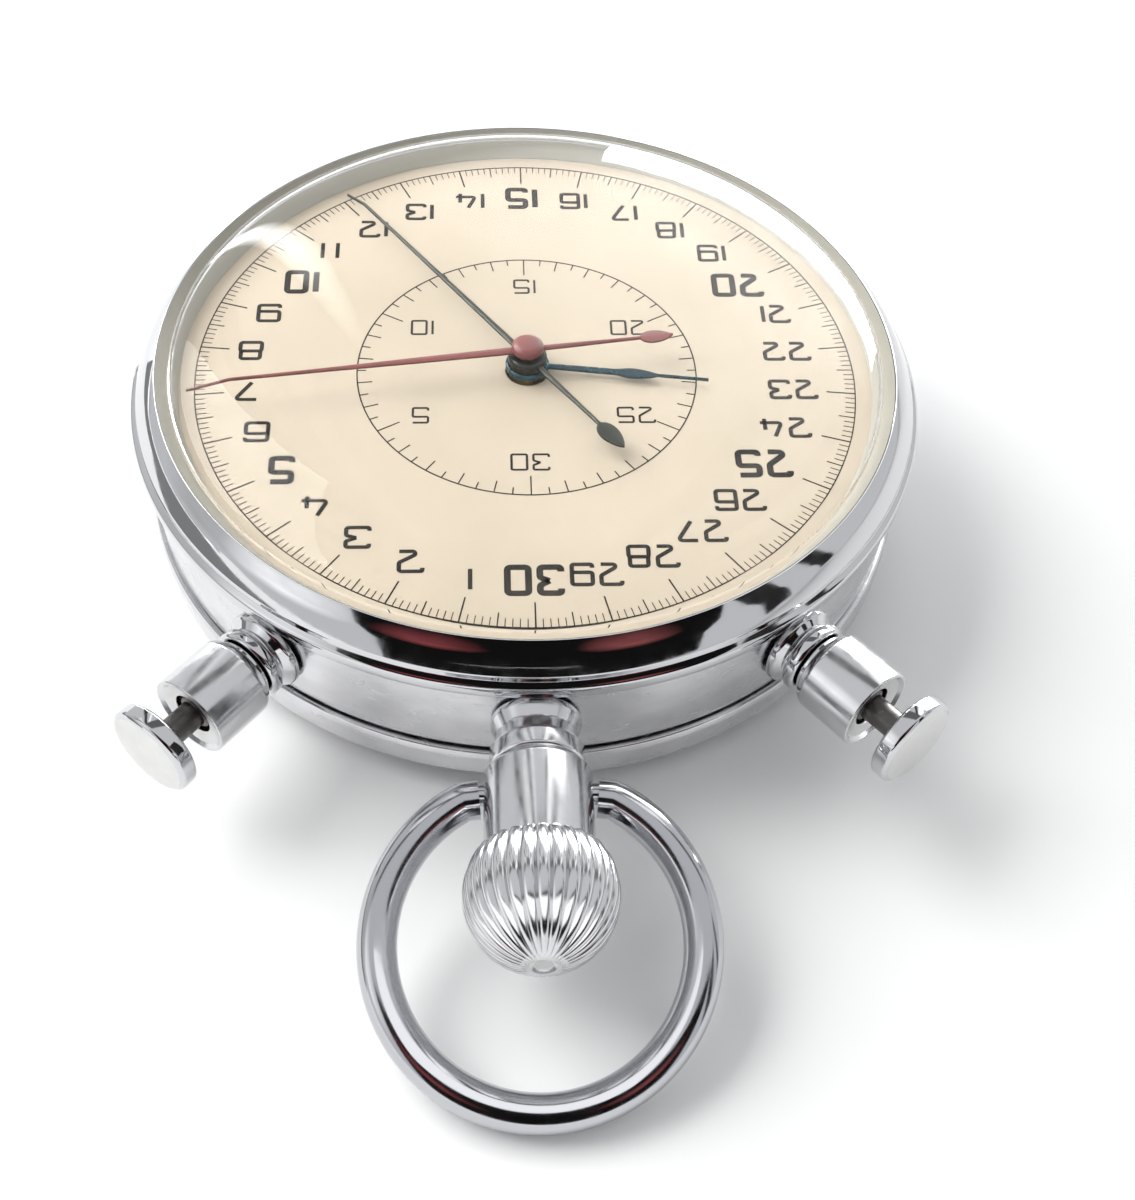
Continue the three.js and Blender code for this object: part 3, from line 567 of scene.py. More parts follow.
TUBE_START = 29.9  # inner ends of the neck and the pushers' collars
FLANGE_START = 31.7
BALL_CENTRE = 46.3  # from the watch's axis
BALL_RADIUS = 5.5
STEM_BORE = 1.2  # for the crown's stem, in the neck and the ball
NECK_RADIUS = 3.95
NECK_END = 44.2
BOW_PIVOT = 38.1
BOW_WIRE = 1.42
BOW_RADIUS = 11.42
BOW_OFFSET = 10.53  # from the pivot to the middle of the ring


def make_neck():
    bore = 2.3
    floor = 32.8  # of the bore
    root = 2.6
    flange = 3.4
    waist = 2.95
    bead = 3.5
    throat = 3.1
    profile = [
        (STEM_BORE, TUBE_START, 0), (root, TUBE_START, 0), (root, FLANGE_START, 0),
        (flange, 31.75, 0.1), (flange - 0.05, 32.2, 0.5), (waist, 33.1, 0.6), (waist, 34.1, 0.2),
        (bead, 34.3, 0.45), (bead, 35.9, 0.5), (throat, 36.05, 0.1), (throat + 0.05, 36.3, 0.1),
        (NECK_RADIUS, 36.55, 0.3), (NECK_RADIUS, NECK_END, 0.2),
        (bore, NECK_END, 0.1), (bore, floor, 0), (STEM_BORE, floor, 0),
    ]
    mesh = radial(turned(profile))
    piece("crown_neck", mesh, WORN_CHROME, "case", "pendant_tube")


def bow_ring_path():
    """The middle of the bow's wire, flat, with the pivot at the origin."""
    straight = 5.3  # the wire runs straight from here to its end beside the neck
    end = NECK_RADIUS + GAP
    ring_end = math.asin(straight / BOW_RADIUS)
    steps = 120
    path = []
    for step in range(steps + 1):
        angle = math.pi / 2 + ring_end + (FULL_TURN - 2 * ring_end) * step / steps
        x = BOW_RADIUS * math.cos(angle)
        y = BOW_RADIUS * math.sin(angle) - BOW_OFFSET
        path.append(Vector((x, y, 0)))
    height = path[0].y + 0.1
    return [Vector((-end, height, 0)), *path, Vector((end, height, 0))]


def make_bow():
    """The ring with a hinge pin at each end, fallen onto the table."""
    pin_radius = 0.8
    pin_start = 2.7
    pin_end = 4.9
    clear_of_table = 0.02
    parts = [tube(bow_ring_path(), BOW_WIRE)]
    for side in (1, -1):
        pin = [Vector((side * pin_start, 0, 0)), Vector((side * pin_end, 0, 0))]
        parts.append(tube(pin, pin_radius))
    drop = AXIS_HEIGHT - BOW_WIRE - clear_of_table
    droop = math.asin(drop / (BOW_OFFSET + BOW_RADIUS))
    place = Matrix.Translation((0, -BOW_PIVOT, AXIS_HEIGHT)) @ Matrix.Rotation(droop, 4, "X")
    mesh = moved(merged(*parts), place)
    piece("bow", mesh, SHADED_BOW_CHROME, "bow", "bow_ring")


def frost_end(made, angle):
    """Gives the faces that look outwards along a pusher's or the crown's axis a frosted finish."""
    facing = 0.96  # cosine of a face's widest angle to the axis
    outward = Vector((math.sin(angle), -math.cos(angle), 0))
    made.data.materials.append(FROSTED)
    for polygon in made.data.polygons:
        if polygon.normal.dot(outward) > facing:
            polygon.material_index = 1


FLUTES = 30
FLUTE_DEPTH = 0.3
POLE_FLAT = 1.05  # radius of the ball's plain end
SKIRT = 43.3  # where the ball starts, over the neck


def ribbed(radius, angle):
    """The ball's radius across its flutes, which are round ridges that fade out at the pole."""
    fade_width = 1.2
    half_pitch = math.pi * BALL_RADIUS / FLUTES
    ridge = (half_pitch ** 2 + FLUTE_DEPTH ** 2) / (2 * FLUTE_DEPTH)
    fade = min(1.0, (radius - POLE_FLAT) / fade_width)
    across = (2 * (angle * FLUTES / FULL_TURN % 1) - 1) * half_pitch
    fall = ridge - math.sqrt(ridge ** 2 - across ** 2)
    return radius - fade * fall


def make_crown():
    rings = 40
    segments_per_flute = 12
    flute_edge = math.radians(60)
    sleeve = 1.9  # round the stem, inside the neck
    sleeve_start = 42
    bore_end = 49
    roof = 46.1  # of the hollow that the neck goes into
    hollow = NECK_RADIUS + GAP
    inside = [
        (0, bore_end), (STEM_BORE, bore_end), (STEM_BORE, sleeve_start), (sleeve, sleeve_start),
        (sleeve, roof), (hollow, roof), (hollow, SKIRT),
    ]
    start = math.acos((SKIRT - BALL_CENTRE) / BALL_RADIUS)
    end = math.asin(POLE_FLAT / BALL_RADIUS)
    ball = []
    for step in range(rings + 1):
        polar = start + (end - start) * step / rings
        height = BALL_CENTRE + BALL_RADIUS * math.cos(polar)
        ball.append(Vector((BALL_RADIUS * math.sin(polar), height)))
    pole = ball[-1].y
    dimple = [(0.95, pole + 0.02), (0.7, pole - 0.1), (0, pole - 0.16)]
    points = [Vector(point) for point in inside] + ball + [Vector(point) for point in dimple]
    fluted = {id(point) for point in ball}

    def shape(point, angle):
        return ribbed(point.x, angle) if id(point) in fluted else point.x

    mesh = swept_round(points, FLUTES * segments_per_flute, closed=False, shape=shape)
    crown = radial(mesh)
    made = piece("crown_ball", crown, WORN_CHROME, "crown", "crown", flute_edge)
    frost_end(made, 0.0)


# ------------------------ pushers

PUSHER_DIRECTIONS = {"left": -PUSHER_ANGLE, "right": PUSHER_ANGLE}
PLUNGER_RADIUS = 1.4
PLUNGER_BORE = PLUNGER_RADIUS + GAP
FLANGE_RADIUS = 2.4  # of the plunger, on its spring
STEM_RADIUS = 1.08  # where it shows between the barrel and the button


def pusher_piece(side, name, profile, material, body, node):
    mesh = radial(turned(profile), PUSHER_DIRECTIONS[side])
    return piece(f"{side}_pusher_{name}", mesh, material, body, f"{side}_pusher_{node}")


def make_pusher_collar(side):
    """The ringed tube where a pusher leaves the case."""
    root = 2.5
    flange = 3.3
    waist = 2.55
    bead = 2.95
    throat = 2.4
    end = 36
    profile = [
        (PLUNGER_BORE, TUBE_START, 0), (root, TUBE_START, 0), (root, FLANGE_START, 0),
        (flange, 31.75, 0.1), (flange - 0.05, 32.3, 0.4), (waist, 32.85, 0.2), (waist, 33.05, 0.1),
        (bead, 33.15, 0.35), (bead, 34.1, 0.4), (throat, 34.25, 0.1), (throat, end, 0.1),
        (PLUNGER_BORE, end, 0),
    ]
    pusher_piece(side, "collar", profile, POLISHED, "case", "tube")


def make_pusher_barrel(side):
    bore = 2.7
    start = 34.7
    radius = 3.32
    end = 40.12
    guide = 39.2  # the closed end that the stem runs through
    profile = [
        (bore, start, 0.1), (3, start, 0.3), (radius, 35.3, 0.6), (radius, end - 0.02, 0.12),
        (3.05, end, 0.08), (2.75, 39.85, 0.1), (PLUNGER_BORE, 39.7, 0.05),
        (PLUNGER_BORE, guide, 0), (bore, guide, 0),
    ]
    made = pusher_piece(side, "barrel", profile, WORN_CHROME, "case", "sleeve")
    frost_end(made, PUSHER_DIRECTIONS[side])


def make_pusher_stem(side):
    start = 28
    flange_start = 38.1
    flange_end = 38.9
    neck_start = 39.5
    neck_end = 42.5
    tip_radius = 0.8
    tip = 43.4  # inside the button
    profile = [
        (0, start, 0), (PLUNGER_RADIUS, start, 0.2), (PLUNGER_RADIUS, flange_start, 0),
        (FLANGE_RADIUS, flange_start, 0.1), (FLANGE_RADIUS, flange_end, 0.1),
        (PLUNGER_RADIUS, flange_end, 0.05), (PLUNGER_RADIUS, neck_start, 0.1),
        (STEM_RADIUS, neck_start + 0.1, 0.05), (STEM_RADIUS, neck_end, 0.1),
        (tip_radius, neck_end, 0), (tip_radius, tip, 0.1), (0, tip, 0),
    ]
    pusher_piece(side, "stem", profile, DARK_STEEL, f"{side}_pusher", "plunger")


def make_pusher_button(side):
    socket = 1.1  # radius of the hole for the stem
    socket_end = 43.7
    start = 42.8
    radius = 3.65
    face = 44.5
    profile = [
        (0, socket_end, 0), (socket, socket_end, 0), (socket, start, 0.05), (3.45, start, 0.2),
        (radius, 43, 0.2), (radius, 44.05, 0.25), (3.3, 44.3, 0.6), (1.6, 44.48, 2), (0, face, 0),
    ]
    body = f"{side}_pusher"
    made = pusher_piece(side, "button", profile, POLISHED, body, "cap")
    frost_end(made, PUSHER_DIRECTIONS[side])


def make_pusher(side):
    make_pusher_collar(side)
    make_pusher_barrel(side)
    make_pusher_stem(side)
    make_pusher_button(side)


# ------------------------ springs


def make_spring(name, mesh, angle):
    """A coil spring round the crown's or a pusher's axis, with a mesh of its own.

    In the callers, foot is the fixed end's distance from the watch's axis.
    """
    made = piece(f"{name}_coil", radial(mesh, angle), SPRING_STEEL, "case", name)
    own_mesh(made)


def make_crown_spring():
    foot = 33.1
    mesh = coil(radius=1.65, wire_radius=0.3, start=foot, end=41.7, turns=6)
    make_spring("crown_spring", mesh, 0.0)


def make_pusher_spring(side):
    foot = 36.3
    mesh = coil(radius=2.03, wire_radius=0.13, start=foot, end=37.8, turns=3)
    make_spring(f"{side}_pusher_spring", mesh, PUSHER_DIRECTIONS[side])


# ------------------------ dial

SCALE_RADIUS = 27.2
INNER_SCALE_RADIUS = 14.03
PRINT_BOTTOM = DIAL_TOP
PRINT_TOP = DIAL_TOP + 0.02
LABEL_REACH = 24.2  # the numerals' outer edges touch this radius
INNER_LABEL_REACH = 10.5  # to the middle of an inner numeral
LABEL_STEP = 5  # every fifth outer numeral is large, and the inner scale has only these
TENTHS = 10
SECOND_TICK = (2.38, 0.12)  # length and width
HALF_SECOND_TICK = (1.3, 0.09)
TENTH_TICK = (0.82, 0.065)
FIVE_MINUTE_TICK = (2.02, 0.1)
MINUTE_TICK = (1.22, 0.1)
HALF_MINUTE_TICK = (0.72, 0.1)


def make_dial():
    centre_hole = 1.8
    bottom = DIAL_TOP - 0.5
    profile = [
        (centre_hole, bottom, 0), (DIAL_RADIUS, bottom, 0), (DIAL_RADIUS, DIAL_TOP, 0.05),
        (centre_hole, DIAL_TOP, 0.05),
    ]
    piece("dial_plate", turned(profile, FINE), DIAL_LACQUER, "case", "dial")


def dial_direction(value):
    angle = FULL_TURN * value / DIAL_UNITS
    return Vector((-math.sin(angle), -math.cos(angle)))


def tick(value, outer, length, width):
    """A printed line that runs inwards from the outer radius."""
    along = dial_direction(value)
    across = Vector((-along.y, along.x)) * width / 2
    far = along * outer
    near = along * (outer - length)
    outline = [far - across, far + across, near + across, near - across]
    return prism([tuple(point) for point in outline], PRINT_BOTTOM, PRINT_TOP)


def printed_circle(radius, width):
    half = width / 2
    profile = [
        (radius - half, PRINT_BOTTOM, 0), (radius + half, PRINT_BOTTOM, 0),
        (radius + half, PRINT_TOP, 0), (radius - half, PRINT_TOP, 0),
    ]
    return turned(profile, FINE)


# Strokes of each digit in a cell one wide and one high: (points, closed), upright with y up.
HOOK = 0.17
DIGITS = {
    "0": [([(0, 0), (1, 0), (1, 1), (0, 1)], True)],
    "1": [([(0, 0), (0, 1)], False)],
    "2": [([(0, 1 - HOOK), (0, 1), (1, 1), (1, 0.56), (0, 0), (1, 0)], False)],
    "3": [
        ([(0, 1 - HOOK), (0, 1), (1, 1), (1, 0.7), (0.55, 0.53)], False),
        ([(0.55, 0.53), (1, 0.4), (1, 0), (0, 0), (0, HOOK)], False),
    ],
    "4": [
        ([(0.36, 1), (0, 0.22), (1, 0.22)], False),
        ([(0.78, 0), (0.78, 0.62)], False),
    ],
    "5": [([(1, 1), (0, 1), (0, 0.6), (1, 0.6), (1, 0), (0, 0), (0, HOOK)], False)],
    "6": [
        ([(1, 1 - HOOK), (1, 1), (0, 1), (0, 0), (1, 0), (1, 0.6), (0.04, 0.6)], False),
    ],
    "7": [([(0, 1), (1, 1), (0.28, 0)], False)],
    "8": [
        ([(0, 0), (1, 0), (1, 0.53), (0, 0.53)], True),
        ([(0.05, 0.53), (0.05, 1), (0.95, 1), (0.95, 0.53)], False),
    ],
    "9": [
        ([(0, HOOK), (0, 0), (1, 0), (1, 1), (0, 1), (0, 0.4), (0.96, 0.4)], False),
    ],
}


SHARPEST_MITRE = 0.5  # limits how far a line's corner may reach out


def stroke(points, closed, width):
    """A printed line of even width along a path, with square ends."""
    count = len(points)
    left = []
    right = []
    for index, point in enumerate(points):
        before = points[index - 1] if closed or index else None
        after = points[(index + 1) % count] if closed or index < count - 1 else None
        arriving = (point - before).normalized() if before is not None else None
        leaving = (after - point).normalized() if after is not None else None
        arriving = leaving if arriving is None else arriving
        leaving = arriving if leaving is None else leaving
        middle = (arriving + leaving).normalized()
        across = Vector((-middle.y, middle.x))
        spread = width / 2 / max(SHARPEST_MITRE, across.dot(Vector((-leaving.y, leaving.x))))
        left.append(point + across * spread)
        right.append(point - across * spread)
    vertices = []
    for height in (PRINT_BOTTOM, PRINT_TOP):
        vertices += [(point.x, point.y, height) for point in left + right]
    top = 2 * count
    faces = []
    for index in range(count if closed else count - 1):
        after = (index + 1) % count
        faces.append((index, after, count + after, count + index))
        faces.append((top + index, top + count + index, top + count + after, top + after))
        faces.append((index, top + index, top + after, after))
        faces.append((count + index, count + after, top + count + after, top + count + index))
    if not closed:
        last = count - 1
        faces.append((0, count, top + count, top))
        faces.append((last, top + last, top + count + last, count + last))
    return vertices, faces


def digit_widths(text, digit_width, line):
    """A one is as wide as its line, and a four a little wider than the other digits."""
    special = {"1": line, "4": 1.12 * digit_width}
    return [special.get(digit, digit_width) for digit in text]


def digit_gap(text, spacing):
    """The space between digits. Two ones, being lines, stand further apart."""
    return 3 * spacing if text == "11" else spacing


def numeral(text, centre, height, digit_width, line, spacing):
    """Printed digits, upright when the crown is up, so their top is towards -Y."""
    widths = digit_widths(text, digit_width, line)
    gap = digit_gap(text, spacing)
    corner = 0.3 * line + 0.06 * digit_width  # fillet radius of a digit's corners
    meshes = []
    start = -(sum(widths) + gap * (len(text) - 1)) / 2
    for digit, width in zip(text, widths):
        for path, closed in DIGITS[digit]:
            corners = []
            for x, y in path:
                across = start + line / 2 + x * (width - line)
                up = -height / 2 + line / 2 + y * (height - line)
                corners.append((centre.x - across, centre.y - up, corner))
            points = rounded(corners, closed)
            meshes.append(stroke(points, closed, line))
        start += width + gap
    return meshes


def label_size(value):
    """Height, digit width, line width and spacing of an outer numeral."""
    if value % LABEL_STEP == 0:
        return 3.05, 2.1, 0.52, 0.34
    digit_width = 2.1 if value < 10 else 1.88
    return 2.32, digit_width, 0.34, 0.32


def outer_label(value):
    text = str(value)
    height, width, line, spacing = label_size(value)
    total = sum(digit_widths(text, width, line)) + digit_gap(text, spacing) * (len(text) - 1)
    along = dial_direction(value)
    reach = LABEL_REACH - (abs(along.x) * total + abs(along.y) * height) / 2
    return numeral(text, along * reach, height, width, line, spacing)


def inner_label(value):
    inset = 0.4  # the numerals beside the centre stand closer to it
    along = dial_direction(value)
    centre = Vector((along.x * (INNER_LABEL_REACH - inset), along.y * INNER_LABEL_REACH))
    return numeral(str(value), centre, height=1.86, digit_width=1.42, line=0.19, spacing=0.32)


def seconds_ticks():
    meshes = []
    for index in range(DIAL_UNITS * TENTHS):
        size = TENTH_TICK
        if index % TENTHS == 0:
            size = SECOND_TICK
        elif index % (TENTHS // 2) == 0:
            size = HALF_SECOND_TICK
        meshes.append(tick(index / TENTHS, SCALE_RADIUS, *size))
    return meshes


def minutes_ticks():
    meshes = []
    for index in range(2 * DIAL_UNITS):
        value = index / 2
        size = HALF_MINUTE_TICK
        if value % LABEL_STEP == 0:
            size = FIVE_MINUTE_TICK
        elif index % 2 == 0:
            size = MINUTE_TICK
        meshes.append(tick(value, INNER_SCALE_RADIUS, *size))
    return meshes


def make_printing():
    meshes = [printed_circle(SCALE_RADIUS, width=0.1)]
    meshes.append(printed_circle(INNER_SCALE_RADIUS, width=0.11))
    meshes += seconds_ticks() + minutes_ticks()
    for value in range(1, DIAL_UNITS + 1):
        meshes += outer_label(value)
        if value % LABEL_STEP == 0:
            meshes += inner_label(value)
    piece("dial_printing", merged(*meshes), INK, "case", None)


# ------------------------ hands


def smooth_widths(stations, steps):
    """Half widths along a blade, eased between (distance, half width) stations."""
    samples = []
    for (here, half), (there, next_half) in zip(stations, stations[1:]):
        for step in range(steps):
            share = step / steps
            eased = share * share * (3 - 2 * share)
            samples.append((here + (there - here) * share, half + (next_half - half) * eased))
    samples.append(stations[-1])
    return samples


BEND_FROM = 24.2  # from here a long hand bends down to the dial
BEND_DROP = 0.75


def blade(stations, bottom, top, drop=0.0, steps=3):
    """A hand's blade with a low ridge along it. With a drop it bends down past BEND_FROM."""
    chamfer = 0.08
    ridge_share = 0.25  # of the blade's width
    samples = smooth_widths(stations, steps)
    tip = stations[-1][0]
    vertices = []
    for distance, half in samples:
        share = max(0.0, (distance - BEND_FROM) / (tip - BEND_FROM)) if drop else 0.0
        low = bottom - drop * share
        high = top - drop * share
        shoulder = high - min(chamfer, half / 2)
        ridge = ridge_share * half
        vertices += [
            (-half, -distance, low), (half, -distance, low), (half, -distance, shoulder),
            (ridge, -distance, high), (-ridge, -distance, high), (-half, -distance, shoulder),
        ]
    around = 6
    faces = [tuple(range(around)), tuple(range(len(vertices) - around, len(vertices)))[::-1]]
    for index in range(len(samples) - 1):
        for edge in range(around):
            after = (edge + 1) % around
            low = index * around
            faces.append((low + edge, low + around + edge, low + around + after, low + after))
    return vertices, faces


def leaf(start, end, half, stem, steps=9):
    """(distance, half width) stations of a leaf that grows out of a stem and ends in a point."""
    widest_early = 0.75  # an exponent that moves the widest place outwards as it grows
    fullness = 0.7
    thinnest = 0.02
    stations = []
    for step in range(steps + 1):
        share = step / steps
        swell = half * math.sin(math.pi * share ** widest_early) ** fullness
        width = max(stem * (1 - share), swell, thinnest)
        stations.append((start + (end - start) * share, width))
    return stations


def hub(bore, radius, bottom, top, low_fillet, high_fillet):
    edge = 0.05
    return turned([
        (bore, bottom, edge), (radius, bottom, low_fillet),
        (radius, top, high_fillet), (bore, top, edge),
    ])


def make_minute_hand():
    stem = 0.27
    swelling = leaf(start=7.3, end=10.9, half=0.5, stem=stem)
    stations = [(1.4, 0.24), (7.2, stem)] + swelling + [(11.2, 0.08), (15, 0.06)]
    arm = blade(stations, bottom=15.55, top=15.85)
    middle = hub(bore=1.5, radius=1.8, bottom=15.4, top=15.95, low_fillet=0.1, high_fillet=0.15)
    mesh = moved(merged(arm, middle), reading(MINUTE_READING))
    piece("minute_hand_blade", mesh, BLUED, "minute", "minute_hand")


def make_seconds_hand():
    tail = leaf(start=-9.5, end=-12.75, half=0.78, stem=0.14)[::-1]
    stations = tail + [(-1.2, 0.24), (1.2, 0.24), (BEND_FROM, 0.11), (27.0, 0.06)]
    arm = blade(stations, bottom=16.45, top=16.7, drop=BEND_DROP)
    middle = hub(bore=0.9, radius=1.6, bottom=16.2, top=16.9, low_fillet=0.2, high_fillet=0.25)
    mesh = moved(merged(arm, middle), reading(SECONDS_READING))
    piece("seconds_hand_blade", mesh, BLUED_GREY, "seconds", "seconds_hand")


def split_hand_cap():
    arbor = 0.3
    socket = 17.6  # height that the hole for the arbor reaches
    bottom = 17.15
    radius = 1.32
    return turned([
        (0, socket, 0), (arbor, socket, 0), (arbor, bottom, 0), (1.15, bottom, 0.1),
        (radius, 17.4, 0.15), (radius, 17.8, 0.35), (0.9, 18.07, 0.5), (0, 18.12, 0),
    ])


def make_split_hand():
    tail = leaf(start=-9.4, end=-12.2, half=0.68, stem=0.12)[::-1]
    stations = tail + [(-1.2, 0.25), (1.2, 0.36), (BEND_FROM, 0.1), (27.7, 0.06)]
    arm = blade(stations, bottom=17.25, top=17.5, drop=BEND_DROP)
    mesh = moved(merged(arm, split_hand_cap()), reading(SPLIT_READING))
    piece("split_hand_blade", mesh, RED, "split", "split_seconds_hand")


# ------------------------ stage


def stage_plane(name, width, depth, matrix, material):
    data = bpy.data.meshes.new(name)
    x = width / 2
    y = depth / 2
    data.from_pydata([(-x, -y, 0), (x, -y, 0), (x, y, 0), (-x, y, 0)], [], [(0, 1, 2, 3)])
    data.materials.append(material)
    made = bpy.data.objects.new(name, data)
    bpy.context.scene.collection.objects.link(made)
    made.matrix_world = matrix
    return made


def make_floor():
    size = 6.0
    below = 0.0002  # keeps the floor off the case back's flat face
    finish = Finish("floor_white", (0.9, 0.9, 0.895), metallic=0.0, roughness=0.35)
    finish.vary_roughness(scale=30, low=0.3, high=0.4)
    finish.shader.inputs["Specular IOR Level"].default_value = 0.0
    stage_plane("floor", size, size, Matrix.Translation((0, 0, -below)), finish.material)


def make_world():
    """A pale room that polished metal sees brighter than the floor does."""
    world = bpy.data.worlds.new("studio")
    world.use_nodes = True
    nodes = world.node_tree.nodes
    background = nodes["Background"]
    background.inputs["Color"].default_value = (0.97, 0.98, 1.0, 1)
    strength = nodes.new("ShaderNodeMapRange")
    strength.inputs["To Min"].default_value = 0.5
    strength.inputs["To Max"].default_value = 0.78
    glossy = nodes.new("ShaderNodeLightPath").outputs["Is Glossy Ray"]
    world.node_tree.links.new(glossy, strength.inputs["Value"])
    world.node_tree.links.new(strength.outputs["Result"], background.inputs["Strength"])
    bpy.context.scene.world = world


def aimed(position, target=(0, 0, 0)):
    """A matrix at a position whose -Z axis points at the target."""
    place = Vector(position)
    turn = (Vector(target) - place).to_track_quat("-Z", "Y")
    return Matrix.Translation(place) @ turn.to_matrix().to_4x4()


def area_light(name, position, size, power):
    """A soft lamp that reflections don't see."""
    data = bpy.data.lights.new(name, "AREA")
    data.shape = "RECTANGLE"
    data.size, data.size_y = size
    data.energy = power
    made = bpy.data.objects.new(name, data)
    bpy.context.scene.collection.objects.link(made)
    made.matrix_world = aimed(position)
    made.visible_glossy = False


def card(name, heading, height, strength, color=(1, 1, 1), distance=0.6, soft=False, lean=0):
    """A panel that only reflections see. heading and height are ranges of angles in degrees:
    heading from the far side (+Y) towards the right (+X), height above the table.
    A soft panel fades towards its sides and is blotchy. lean turns it in its own plane.
    """
    turn = math.radians(sum(heading) / 2)
    rise = math.radians(sum(height) / 2)
    width = 2 * distance * math.tan(math.radians(heading[1] - heading[0]) / 2) * math.cos(rise)
    tall = 2 * distance * math.tan(math.radians(height[1] - height[0]) / 2)
    flat = distance * math.cos(rise)
    place = (flat * math.sin(turn), flat * math.cos(turn), distance * math.sin(rise))
    finish = glowing(name + "_finish", color, strength)
    if soft:
        fade_out(finish, width, tall)
    matrix = aimed(place) @ Matrix.Rotation(math.radians(lean), 4, "Z")
    only_in_reflections(stage_plane(name, width, tall, matrix, finish.material))


def glowing(name, color, strength):
    finish = Finish(name, (0, 0, 0), metallic=0.0, roughness=1.0)
    finish.shader.inputs["Specular IOR Level"].default_value = 0.0
    finish.shader.inputs["Emission Color"].default_value = (*color, 1)
    finish.shader.inputs["Emission Strength"].default_value = strength
    return finish


def only_in_reflections(panel):
    panel.visible_camera = False
    panel.visible_diffuse = False
    panel.visible_shadow = False
    panel.visible_transmission = False


def fade_out(finish, width, tall):
    """Emission that falls off from the middle of a panel to its edges, and lets light past."""
    centred = finish.node("ShaderNodeMapping")
    centred.inputs["Scale"].default_value = (2 / width, 2 / tall, 1)
    finish.link(finish.coordinates, centred.inputs["Vector"])
    distance = finish.node("ShaderNodeVectorMath", operation="LENGTH")
    finish.link(centred.outputs["Vector"], distance.inputs[0])
    edge = finish.remapped(distance.outputs["Value"], low=0.3, high=1, to_low=1, to_high=0)
    blotch = finish.remapped(finish.noise(14), low=0.35, high=0.65, to_low=0.6, to_high=1)
    share = finish.node("ShaderNodeMath", operation="MULTIPLY")
    finish.link(edge, share.inputs[0])
    finish.link(blotch, share.inputs[1])
    finish.link(share.outputs["Value"], finish.shader.inputs["Alpha"])


# Window bars and panes above the far side: (name, heading, strength).
OVERHEAD_STRIPES = [
    ("pane_a", (-62, -52), 1.4),
    ("bar_a", (-51, -45), 0.05),
    ("pane_b", (-42, -32), 1.2),
    ("bar_b", (-29, -24), 0.06),
    ("pane_c", (-19, -15), 1.5),
    ("bar_d", (21, 26), 0.08),
    ("pane_d", (28, 37), 1.7),
    ("bar_e", (42, 49), 0.05),
    ("pane_e", (52, 66), 1.7),
]


def make_lamps():
    area_light("window", position=(-0.5, 0.24, 0.5), size=(0.66, 0.56), power=7.3)
    area_light("ceiling", position=(0.1, 0, 0.95), size=(1.4, 1.4), power=1.7)


def make_far_cards():
    """The window on the far side and the panes and bars above it."""
    card("far_window", (8, 48), (-4, 23), strength=24.0, distance=0.5)
    card("far_window_glow", (-8, 54), (10, 50), strength=10.0, distance=0.52, soft=True)
    card("far_strip", (-24.5, -20.5), (-10, 47), strength=32.0, soft=True, lean=22)
    card("left_window", (-104, -68), (2, 34), strength=0.6, distance=0.5, soft=True)
    card("left_low", (-125, -55), (-30, 8), strength=0.3, distance=0.09)
    for name, heading, strength in OVERHEAD_STRIPES:
        card(name, heading, (45, 66), strength)
        if name.startswith("bar"):
            card(name + "_low", heading, (30, 45), strength)
    card("overhead_dark", (-80, 80), (67, 80), strength=0.16)


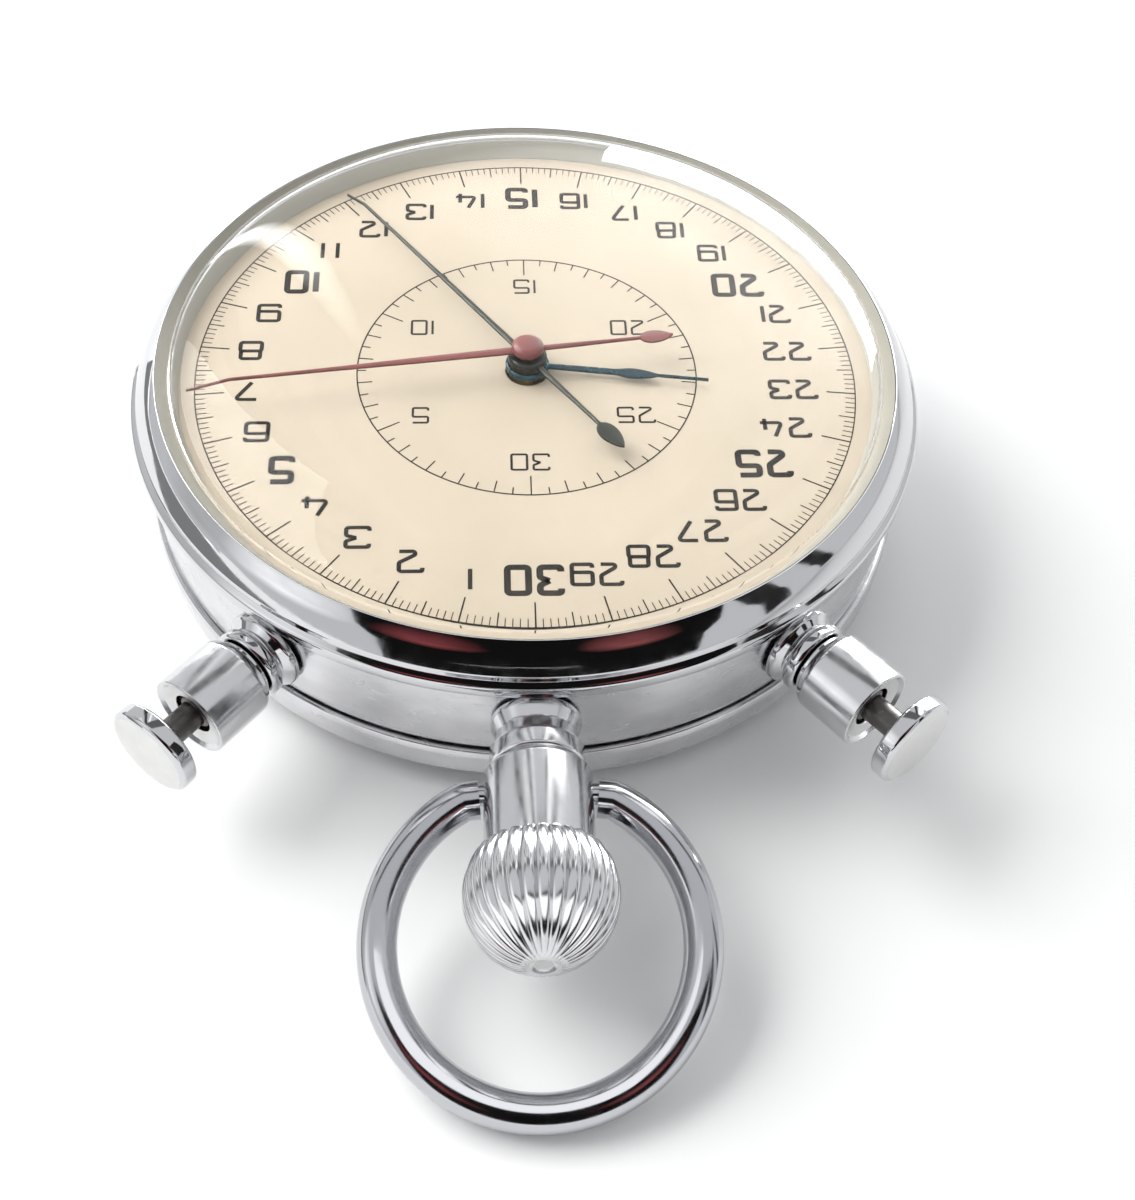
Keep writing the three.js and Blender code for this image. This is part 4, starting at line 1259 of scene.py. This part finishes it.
def make_near_cards():
    """The dark side of the room, behind the camera, with two hands."""
    card("camera_side_dark", (132, 222), (6, 60), strength=0.008, distance=0.3)
    card("right_bar_a", (114, 123), (4, 40), strength=0.03, distance=0.3)
    card("right_bar_b", (100, 105), (4, 36), strength=0.03, distance=0.3)
    card("left_fill", (224, 266), (8, 46), strength=1.5, distance=0.3, soft=True)
    card("camera_side_low", (150, 262), (-6, 5), strength=1.3, distance=0.32)
    skin_left = (1.0, 0.22, 0.24)
    skin_right = (1.0, 0.28, 0.28)
    card("hand_left", (190, 222), (22, 44), strength=0.34, color=skin_left, distance=0.28, soft=True)
    card("hand_right", (140, 168), (22, 46), strength=0.36, color=skin_right, distance=0.28, soft=True)


def make_crown_panel():
    """A small bright panel over the crown's end, for the ball's near flutes."""
    place = aimed((-0.003, -0.059, 0.0207), (-0.003, -0.0624, 0.001))
    glow = glowing("crown_panel_finish", (1, 1, 1), strength=1.6)
    only_in_reflections(stage_plane("crown_panel", 0.024, 0.014, place, glow.material))


# ------------------------ camera

AZIMUTH = math.radians(-4.6)
ELEVATION = math.radians(50.57)
ROLL = math.radians(3.13)
LENS = 52.68
SENSOR_WIDTH = 36.0
NEAREST = 0.01
DIAL_UNIT = SCALE_RADIUS * MM
CAMERA_PLACE = (-0.1551, -3.9347, 3.6983)  # from the dial's centre, in radii of the outer scale


def make_camera():
    data = bpy.data.cameras.new("camera")
    data.lens = LENS
    data.sensor_width = SENSOR_WIDTH
    data.clip_start = NEAREST
    camera = bpy.data.objects.new("camera", data)
    bpy.context.scene.collection.objects.link(camera)
    flat = math.cos(ELEVATION)
    back = Vector((math.sin(AZIMUTH) * flat, -math.cos(AZIMUTH) * flat, math.sin(ELEVATION)))
    right = Vector((math.cos(AZIMUTH), math.sin(AZIMUTH), 0))
    up = back.cross(right)
    rolled_right = right * math.cos(ROLL) + up * math.sin(ROLL)
    rolled_up = up * math.cos(ROLL) - right * math.sin(ROLL)
    turn = Matrix((rolled_right, rolled_up, back)).transposed().to_4x4()
    place = Vector(CAMERA_PLACE) * DIAL_UNIT + UP * DIAL_TOP * MM
    camera.matrix_world = Matrix.Translation(place) @ turn
    bpy.context.scene.camera = camera


finish_cad_nodes()
make_case_back()
make_band()
make_bezel_ring()
make_bezel_wall()
make_crystal()
make_neck()
make_bow()
make_crown()
for side in PUSHER_DIRECTIONS:
    make_pusher(side)
make_crown_spring()
for side in PUSHER_DIRECTIONS:
    make_pusher_spring(side)
make_dial()
make_printing()
make_minute_hand()
make_seconds_hand()
make_split_hand()
make_floor()
make_world()
make_lamps()
make_far_cards()
make_near_cards()
make_crown_panel()
make_camera()
bpy.context.scene.view_settings.view_transform = "Standard"
